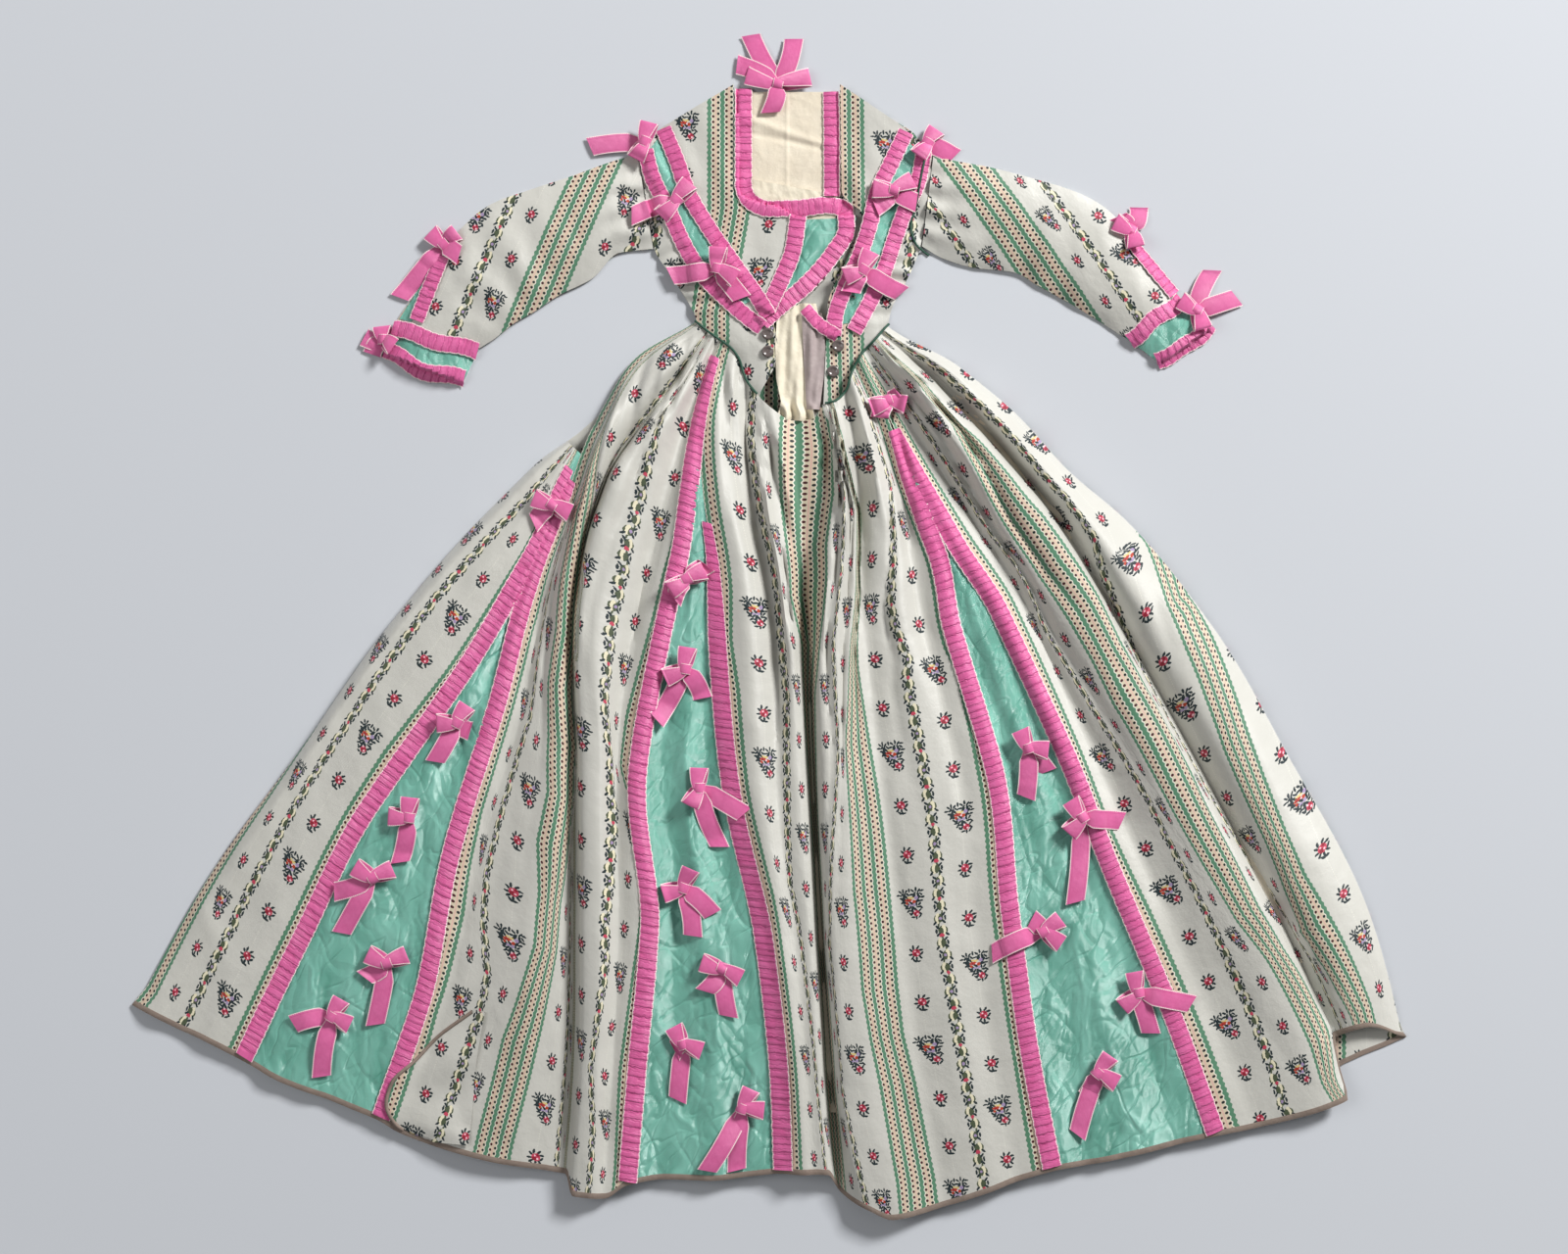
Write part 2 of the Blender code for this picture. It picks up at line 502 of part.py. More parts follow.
def new_material(name):
    colour, roughness, metallic = MATERIALS[name]
    material = bpy.data.materials.new(name)
    material.use_nodes = True
    shader = material.node_tree.nodes["Principled BSDF"]
    shader.inputs["Base Color"].default_value = (*colour, 1.0)
    shader.inputs["Roughness"].default_value = roughness
    shader.inputs["Metallic"].default_value = metallic
    return material


def add_object(name, vertices, faces, material, smooth=True):
    """Makes one closed body, turned so that its faces point out."""
    mesh = bpy.data.meshes.new(name)
    mesh.from_pydata([tuple(float(c) * MM for c in point) for point in vertices], [], faces)
    body = bmesh.new()
    body.from_mesh(mesh)
    if body.calc_volume(signed=True) < 0.0:
        bmesh.ops.reverse_faces(body, faces=body.faces)
    body.to_mesh(mesh)
    body.free()
    mesh.materials.append(material)
    if smooth:
        mesh.shade_smooth()
        mesh.set_sharp_from_angle(angle=math.radians(50))
    obj = bpy.data.objects.new(name, mesh)
    bpy.context.scene.collection.objects.link(obj)
    return obj


def grid_faces(columns, rows, offset, flip):
    """Triangles of a grid, all with the same diagonal."""
    faces = []
    for c in range(columns - 1):
        for r in range(rows - 1):
            a, b = offset + c * rows + r, offset + (c + 1) * rows + r
            pair = [(a, a + 1, b + 1), (a, b + 1, b)]
            faces += [triangle[::-1] for triangle in pair] if flip else pair
    return faces


def wall_from_grids(name, outer, inner, material):
    """Closes two matching grids into one wall."""
    columns, rows = outer.shape[0], outer.shape[1]
    count = columns * rows
    faces = grid_faces(columns, rows, 0, False) + grid_faces(columns, rows, count, True)
    rim = [c * rows for c in range(columns)]
    rim += [(columns - 1) * rows + r for r in range(1, rows)]
    rim += [c * rows + rows - 1 for c in range(columns - 2, -1, -1)]
    rim += list(range(rows - 2, 0, -1))
    for here, after in zip(rim, rim[1:] + rim[:1]):
        faces += [(here, after, after + count), (here, after + count, here + count)]
    vertices = np.concatenate((outer.reshape(-1, 3), inner.reshape(-1, 3)))
    ground.append((outer.reshape(-1, 3), grid_faces(columns, rows, 0, False)))
    return add_object(name, vertices, faces, material)


def build_skirt_front(materials):
    for panel in PANELS:
        outer, normals = panel_grid(panel)
        wall_from_grids(panel.name, outer, outer - WALL * normals, materials[panel.cloth])


def build_skirt_ribbons(materials):
    """Each ribbon lies over a seam on the rows of the panels, with a ruffle wave on every row."""
    for ribbon in SKIRT_RIBBONS:
        line = FOLD_NAMES.index(ribbon.seam)
        outer, inner = [], []
        for column in (("whole ribbon", line, -1), ("line", line, 0.0), ("whole ribbon", line, 1)):
            radius = column_radii(column, ribbon.start)
            radius = radius[1:] if ribbon.start == 0.0 else radius
            points, normals = skirt_surface(column_angle(column, radius), radius)
            halfway = 0.5 * (points[:-1] + points[1:])
            halfway_normals = 0.5 * (normals[:-1] + normals[1:])
            count = 2 * len(points) - 1
            line_points, line_normals, lift = np.zeros((count, 3)), np.zeros((count, 3)), np.zeros(count)
            line_points[0::2], line_points[1::2] = points, halfway
            line_normals[0::2], line_normals[1::2] = normals, halfway_normals
            lift[1::2] = RUFFLE_HEIGHT
            low = line_points + line_normals * (RIBBON_CLEARANCE + lift)[:, None]
            inner.append(low)
            outer.append(low + line_normals * RIBBON_WALL)
        wall_from_grids(ribbon.name, np.array(outer), np.array(inner), materials["ribbon"])


def build_hem_binding(materials):
    """A bound edge along the hem of all panels."""
    outer, inner = [], []
    for panel in PANELS:
        columns = panel_columns(panel.first, panel.last)
        for place, column in enumerate(columns):
            if panel is not PANELS[-1] and place == len(columns) - 1:
                continue
            hem = column_radii(column, panel.start)[-1:]
            angle = column_angle(column, hem)
            edge, normal = skirt_surface(angle, hem)
            outward = np.array([math.sin(math.radians(angle[0])), -math.cos(math.radians(angle[0])), 0.0])
            points = np.array([edge[0] + outward * reach for reach in (2 * SEAM_GAP, HEM_BINDING)])
            outer.append(points)
            inner.append(points - WALL * normal)
    wall_from_grids("skirt_hem_binding", np.array(outer), np.array(inner), materials["binding"])


def plan_between(left, right, rows, columns):
    """Plan of a wall between two edges, as columns of rows with the height left at nothing."""
    places = np.linspace(0.0, len(left) - 1.0, rows)
    track = np.arange(len(left), dtype=float)
    plan = np.zeros((columns, rows, 3))
    for c, share in enumerate(np.linspace(0.0, 1.0, columns)):
        for axis in (0, 1):
            start = np.interp(places, track, [point[axis] for point in left])
            end = np.interp(places, track, [point[axis] for point in right])
            plan[c, :, axis] = start * (1 - share) + end * share
    return plan


def flat_wall(name, edges, bottom, thickness, rows, columns, material):
    """A flat wall between two edges."""
    inner = plan_between(*edges, rows, columns)
    inner[..., 2] = bottom
    return wall_from_grids(name, inner + np.array([0.0, 0.0, thickness]), inner, material)


def laid_wall(name, edges, lift, thickness, rows, columns, material):
    """A wall between two edges that follows the bodice at a height over it."""
    outer = plan_between(*edges, rows, columns)
    outer[..., 2] = bodice_height(outer[..., 0], outer[..., 1]) + lift
    return wall_from_grids(name, outer, outer - np.array([0.0, 0.0, thickness]), material)


def build_skirt_back(materials):
    """Flat back skirt under everything, from the back waist to its own hem."""
    hem_angles = fold_angles(np.array([ANGLE_STATIONS[-1]], float))[0]
    waist_angles = fold_angles(np.array([ANGLE_STATIONS[0]], float))[0]
    shares = np.linspace(0.0, 1.0, BACK_COLUMNS)
    outer = np.zeros((BACK_COLUMNS, len(BACK_ROWS), 3))
    for c, share in enumerate(shares):
        hem = table_curve(BACK_HEM, hem_angles[0] * (1 - share) + hem_angles[-1] * share)[0]
        waist_angle = waist_angles[0] * (1 - share) + waist_angles[-1] * share
        waist = (FAN_Y - BACK_WAIST_Y + SEAM_GAP) / math.cos(math.radians(waist_angle))
        radius = waist + (hem - waist) * np.array(BACK_ROWS)
        angles = fold_angles(radius)
        angle = left_side(angles, radius) * (1 - share) + angles[:, -1] * share
        outer[c, :, 0], outer[c, :, 1] = fan_to_plan(angle, radius)
        outer[c, 0, 1] = BACK_WAIST_Y - SEAM_GAP
    outer[..., 2] = BACK_TOP
    inner = outer.copy()
    inner[..., 2] = 0.0
    wall_from_grids("skirt_back", outer, inner, materials["brocade"])


def build_hidden_layers(materials):
    """One rounded solid for the layers that no view shows, between the back and the folds."""
    floor = BACK_TOP + SEAM_GAP
    radius = np.linspace(HIDDEN_FROM, HIDDEN_TO, HIDDEN_ROWS)
    angles = fold_angles(radius)
    inset = np.degrees(HIDDEN_INSET / radius)
    left = np.where(radius < HIDDEN_WIDENS, angles[:, FOLD_NAMES.index("b_valley")], angles[:, 0]) + inset
    right = angles[:, -1] - inset
    outer = np.zeros((HIDDEN_COLUMNS, HIDDEN_ROWS, 3))
    for c, share in enumerate(np.linspace(0.0, 1.0, HIDDEN_COLUMNS)):
        angle = left * (1 - share) + right * share
        outer[c, :, 0], outer[c, :, 1] = fan_to_plan(angle, radius)
        outer[c, :, 2] = floor + HIDDEN_SHARE * hidden_rise(angle, radius, angles)
    outer[:, 0, 2] = floor + HIDDEN_EDGE
    outer[:, -1, 2] = floor + HIDDEN_EDGE
    inner = outer.copy()
    inner[..., 2] = floor
    wall_from_grids("skirt_hidden_layers", outer, inner, materials["brocade"])


def bodice_height(x, y):
    """Height of the outer face of the laid bodice front."""
    shape = np.shape(x)
    flat_x, flat_y = np.ravel(x).astype(float), np.ravel(y).astype(float)
    across = np.clip(np.abs(flat_x - BODICE_CENTRE_X) / table_curve(BODICE_HALF_WIDTH, flat_y), 0.0, 1.0)
    rise = table_curve(BODICE_RISE, flat_y) * (1.0 - across ** FRONT_DOME_POWER)
    return (EDGE_TOP + rise).reshape(shape)


def front_grid(lines):
    """Plan of one front: its lines from shoulder to waist, with strips between them."""
    shares = np.linspace(0.0, 1.0, FRONT_ROWS)
    stations = np.linspace(0.0, 1.0, len(lines[0].points) + 1)
    tracks = []
    for line in lines:
        end = fan_to_plan(line.waist_angle, table_curve(WAIST_SEAM, line.waist_angle)[0] - SEAM_GAP)
        points = list(line.points) + [tuple(float(c) for c in end)]
        tables = [[(s, p[axis]) for s, p in zip(stations, points)] for axis in (0, 1)]
        tracks.append([table_curve(table, shares) for table in tables])
    columns = []
    for line, here, after in zip(lines, tracks, tracks[1:] + tracks[-1:]):
        for k in range(max(line.strips, 1)):
            share = k / max(line.strips, 1)
            columns.append([here[axis] * (1 - share) + after[axis] * share for axis in (0, 1)])
    plan = np.array(columns).transpose(0, 2, 1)
    waist_angles = []
    for line, after in zip(lines, lines[1:] + lines[-1:]):
        for k in range(max(line.strips, 1)):
            share = k / max(line.strips, 1)
            waist_angles.append(line.waist_angle * (1 - share) + after.waist_angle * share)
    seam = table_curve(WAIST_SEAM, waist_angles) - SEAM_GAP
    plan[:, -1, 0], plan[:, -1, 1] = fan_to_plan(np.array(waist_angles), seam)
    return plan


def build_bodice(materials):
    flat_wall("bodice_back", BODICE_BACK_EDGES, 0.0, BACK_TOP, 14, 7, materials["brocade"])
    flat_wall("bodice_lining", LINING_EDGES, BACK_TOP + SEAM_GAP, LINING_WALL, 8, 7, materials["lining"])
    for name, lines in (("bodice_front_left", FRONT_LEFT), ("bodice_front_right", FRONT_RIGHT)):
        plan = front_grid(lines)
        outer = np.concatenate((plan, bodice_height(plan[..., 0], plan[..., 1])[..., None]), axis=2)
        wall_from_grids(name, outer, outer - np.array([0.0, 0.0, WALL]), materials["brocade"])
    laid_wall("stomacher", STOMACHER_EDGES, 0.0, WALL, 9, 6, materials["taffeta"])
    laid_wall("gauze", GAUZE_EDGES, GAUZE_LIFT, WALL, 9, 7, materials["gauze"])
    for strip in GREEN_STRIPS:
        lift = GREEN_CLEARANCE + GREEN_WALL
        laid_wall(strip.name, (strip.left, strip.right), lift, GREEN_WALL, 16, 4, materials["taffeta"])


def smooth_route(points, pitch):
    """Evenly spaced points and sideways directions along a rounded route."""
    points = np.array(points, float)
    length = np.concatenate(([0.0], np.cumsum(np.linalg.norm(np.diff(points, axis=0), axis=1))))
    count = max(2, round(length[-1] / pitch)) * 2 + 1
    fine = np.linspace(0.0, length[-1], ROUTE_FINENESS * count)
    rounded = np.stack([table_curve(list(zip(length, points[:, axis])), fine) for axis in (0, 1)], axis=1)
    run = np.concatenate(([0.0], np.cumsum(np.linalg.norm(np.diff(rounded, axis=0), axis=1))))
    at = np.linspace(0.0, run[-1], count)
    route = np.stack([np.interp(at, run, rounded[:, axis]) for axis in (0, 1)], axis=1)
    along = np.gradient(route, axis=0)
    along /= np.linalg.norm(along, axis=1)[:, None]
    return route, np.stack((along[:, 1], -along[:, 0]), axis=1)


def build_bodice_ribbons(materials):
    for ribbon in BODICE_RIBBONS:
        route, sideways = smooth_route(ribbon.route, BODICE_RIBBON_PITCH)
        lift = np.zeros(len(route))
        lift[1::2] = RUFFLE_HEIGHT
        inner = []
        for side in (-1.0, 0.0, 1.0):
            plan = route + side * ribbon.half * sideways
            height = bodice_height(plan[:, 0], plan[:, 1]) + ribbon.level + lift
            inner.append(np.concatenate((plan, height[:, None]), axis=1))
        inner = np.array(inner)
        wall_from_grids(ribbon.name, inner + np.array([0.0, 0.0, RIBBON_WALL]), inner, materials["ribbon"])


def sleeve_grid(rows, strips):
    """Plan and dome of a sleeve top, as columns across and rows along."""
    outer = np.zeros((strips + 1, len(rows), 3))
    for c in range(strips + 1):
        share = c / strips
        dome = 1.0 - abs(2.0 * share - 1.0) ** SLEEVE_DOME_POWER
        for r, row in enumerate(rows):
            outer[c, r, 0] = row.outer[0] * (1 - share) + row.inner[0] * share
            outer[c, r, 1] = row.outer[1] * (1 - share) + row.inner[1] * share
            outer[c, r, 2] = EDGE_TOP + row.rise * dome
    return outer


def between_rows(first, second, share):
    """A sleeve row between two others."""
    mix = [tuple(a * (1 - share) + b * share for a, b in zip(first[k], second[k])) for k in (0, 1)]
    return SleeveRow(mix[0], mix[1], first.rise * (1 - share) + second.rise * share)


def finer_rows(rows):
    """Rows with one more between each pair."""
    result = [rows[0]]
    for first, second in zip(rows, rows[1:]):
        result += [between_rows(first, second, 0.5), second]
    return result


def build_sleeve(side, rows, cuff_end, materials):
    drop = np.array([0.0, 0.0, WALL])
    end = SleeveRow(*cuff_end, CUFF_RISE)
    top = sleeve_grid(finer_rows(rows), SLEEVE_STRIPS)
    wall_from_grids("sleeve_" + side + "_top", top, top - drop, materials["brocade"])
    under = sleeve_grid(list(rows) + [end], SLEEVE_UNDER_STRIPS)
    under[..., 2] = BACK_TOP
    flat = under.copy()
    flat[..., 2] = 0.0
    wall_from_grids("sleeve_" + side + "_under", under, flat, materials["brocade"])
    cuff = sleeve_grid([between_rows(rows[-1], end, share) for share in CUFF_BAND], SLEEVE_STRIPS)
    wall_from_grids("cuff_" + side, cuff, cuff - drop, materials["taffeta"])
    upper_start = between_rows(rows[-2], rows[-1], UPPER_RUFFLE_FROM)
    ruffles = (("upper", upper_start, between_rows(rows[-1], end, UPPER_RUFFLE_TO)),
               ("lower", *(between_rows(rows[-1], end, share) for share in LOWER_RUFFLE)))
    for label, first, second in ruffles:
        coarse = sleeve_grid([first, second], SLEEVE_STRIPS)
        fine = np.zeros((2 * SLEEVE_STRIPS + 1, 2, 3))
        fine[0::2] = coarse
        fine[1::2] = 0.5 * (coarse[:-1] + coarse[1:])
        fine[..., 2] += CUFF_RUFFLE_LIFT
        fine[1::2, :, 2] += RUFFLE_HEIGHT
        name = "ribbon_cuff_" + side + "_" + label
        wall_from_grids(name, fine + np.array([0.0, 0.0, RIBBON_WALL]), fine, materials["ribbon"])


def ground_reader():
    """Gives the height of what lies under a place, as the highest of a few probes round it."""
    vertices, faces = [], []
    for points, triangles in ground:
        base = len(vertices)
        vertices += [Vector(point) for point in points.tolist()]
        faces += [tuple(base + corner for corner in triangle) for triangle in triangles]
    tree = BVHTree.FromPolygons(vertices, faces)
    probes = ((0, 0), (BOW_PROBE, 0), (-BOW_PROBE, 0), (0, BOW_PROBE), (0, -BOW_PROBE))
    down = Vector((0.0, 0.0, -1.0))

    def height(x, y):
        highest = 0.0
        for dx, dy in probes:
            hit = tree.ray_cast(Vector((x + dx, y + dy, PROBE_FROM)), down)[0]
            if hit is not None:
                highest = max(highest, hit.z)
        return highest

    return height, tree


def build_buttons(materials, height):
    for name, x, y in BUTTONS:
        base = height(x, y) + SEAM_GAP
        bpy.ops.mesh.primitive_cylinder_add(
            vertices=BUTTON_SIDES, radius=BUTTON_RADIUS * MM, depth=BUTTON_HEIGHT * MM)
        button = bpy.context.active_object
        button.name = name
        button.location = (x * MM, y * MM, (base + 0.5 * BUTTON_HEIGHT) * MM)
        button.data.materials.append(materials["button"])


def nearest_side(turn):
    return round((turn % 360.0) / (360.0 / KNOT_SIDES)) % KNOT_SIDES


def bow_arms(bow):
    """The arms of a bow by the side of the knot that each leaves."""
    arms = {}
    for turn, length, sections in (
            (bow.loop_a, LOOP_LENGTH, LOOP_SECTIONS), (bow.loop_b, LOOP_LENGTH, LOOP_SECTIONS),
            (bow.tail_a, bow.length_a, TAIL_SECTIONS), (bow.tail_b, bow.length_b, TAIL_SECTIONS)):
        side = nearest_side(turn)
        while side in arms:
            side = (side + 1) % KNOT_SIDES
        arms[side] = (turn, length, sections)
    return arms


def bow_mesh(bow, height, lift):
    """A knot with two loops and two tails, one closed body that follows what it lies on."""
    corners = []
    for k in range(KNOT_SIDES):
        turn = math.radians((k - 0.5) * 360.0 / KNOT_SIDES)
        corners.append((bow.x + KNOT_RADIUS * math.cos(turn), bow.y + KNOT_RADIUS * math.sin(turn)))
    vertices, faces = [], []
    for level in (lift, lift + KNOT_HEIGHT):
        vertices += [(x, y, height(x, y) + level) for x, y in corners]
    for k in range(1, KNOT_SIDES - 1):
        faces += [(0, k + 1, k), (KNOT_SIDES, KNOT_SIDES + k, KNOT_SIDES + k + 1)]
    arms = bow_arms(bow)
    for side in range(KNOT_SIDES):
        following = (side + 1) % KNOT_SIDES
        ring = [side, following, KNOT_SIDES + following, KNOT_SIDES + side]
        turn, length, sections = arms.get(side, (0.0, 0.0, ()))
        forward = (math.cos(math.radians(turn)), math.sin(math.radians(turn)))
        for share, half, thick in sections:
            base = len(vertices)
            reach = KNOT_RADIUS + length * share
            for across, level in ((-1, 0), (1, 0), (1, 1), (-1, 1)):
                x = bow.x + forward[0] * reach - forward[1] * half * across
                y = bow.y + forward[1] * reach + forward[0] * half * across
                vertices.append((x, y, height(x, y) + lift + level * thick))
            new = [base, base + 1, base + 2, base + 3]
            a, b, c, d = ring
            faces += [(a, b, new[1]), (a, new[1], new[0]), (c, d, new[2]), (d, new[3], new[2])]
            faces += [(b, c, new[2]), (b, new[2], new[1]), (d, a, new[0]), (d, new[0], new[3])]
            ring = new
        faces += [(ring[0], ring[1], ring[2]), (ring[0], ring[2], ring[3])]
    return vertices, faces


def build_bow(bow, material, height, tree):
    """Seats a bow: it is raised in small steps until it is clear of what it lies on."""
    lift = BOW_CLEARANCE
    vertices, faces = bow_mesh(bow, height, lift)
    while tree.overlap(BVHTree.FromPolygons(vertices, faces)):
        lift += BOW_LIFT_STEP
        vertices, faces = bow_mesh(bow, height, lift)
    add_object(bow.name, vertices, faces, material)


def main():
    for obj in list(bpy.data.objects):
        bpy.data.objects.remove(obj)
    materials = {name: new_material(name) for name in MATERIALS}
    build_skirt_back(materials)
    build_hidden_layers(materials)
    build_skirt_front(materials)
    build_skirt_ribbons(materials)
    build_hem_binding(materials)
    build_bodice(materials)
    build_bodice_ribbons(materials)
    build_sleeve("left", SLEEVE_LEFT, CUFF_LEFT_END, materials)
    build_sleeve("right", SLEEVE_RIGHT, CUFF_RIGHT_END, materials)
    height, tree = ground_reader()
    build_buttons(materials, height)
    for bow in BOWS:
        build_bow(bow, materials["ribbon"], height, tree)


main()
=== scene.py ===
"""Looks of the robe a la francaise: silk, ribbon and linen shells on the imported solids.

Tables are in millimetres and degrees as in the part's source. Places named px are places in the
photograph's frame of 1600 by 1280, which one scale turns into millimetres.
"""
import math
from collections import namedtuple
from functools import partialmethod

import bpy
import numpy as np
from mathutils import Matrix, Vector, noise
from mathutils.bvhtree import BVHTree


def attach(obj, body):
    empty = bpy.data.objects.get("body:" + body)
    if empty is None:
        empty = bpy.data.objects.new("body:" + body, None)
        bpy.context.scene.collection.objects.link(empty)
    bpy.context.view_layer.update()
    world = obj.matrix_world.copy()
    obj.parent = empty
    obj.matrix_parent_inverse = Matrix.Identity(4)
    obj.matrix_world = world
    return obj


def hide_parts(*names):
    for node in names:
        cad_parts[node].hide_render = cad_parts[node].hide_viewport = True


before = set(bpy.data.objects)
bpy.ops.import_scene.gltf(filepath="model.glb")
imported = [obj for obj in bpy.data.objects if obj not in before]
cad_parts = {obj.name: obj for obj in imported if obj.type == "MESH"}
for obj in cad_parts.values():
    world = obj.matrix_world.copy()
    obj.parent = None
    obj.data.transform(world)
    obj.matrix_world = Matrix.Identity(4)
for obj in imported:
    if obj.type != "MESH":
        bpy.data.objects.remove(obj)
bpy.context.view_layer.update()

MM = 0.001
PX = 1.2
PX_CENTRE_X = 784.5
PX_CENTRE_Y = 637.5

# Cloth
SHELL = 0.7
EDGE_TOP = 3.3
SEAM_GAP = 0.3
COLUMN_PITCH = 6.5
ROW_PITCH = 7.0
SHARP_EDGE = 60.0
ROUTE_FINENESS = 400
SMOOTHING = 9
PROBE_FROM = 500.0

# Skirt fan
FAN_X = 40.0
FAN_Y = 515.0
SKIRT_RIBBON_HALF = 12.0
ROUNDED_EDGE = 60.0
HEM_BINDING = 5.0
BACK_TOP = 1.5
BACK_WALL = 1.5
HIDDEN_WALL = 0.7
ANGLE_STEP = 0.02
TABLE_FROM = 170.0
TABLE_TO = 1300.0
TABLE_STEP = 2.0

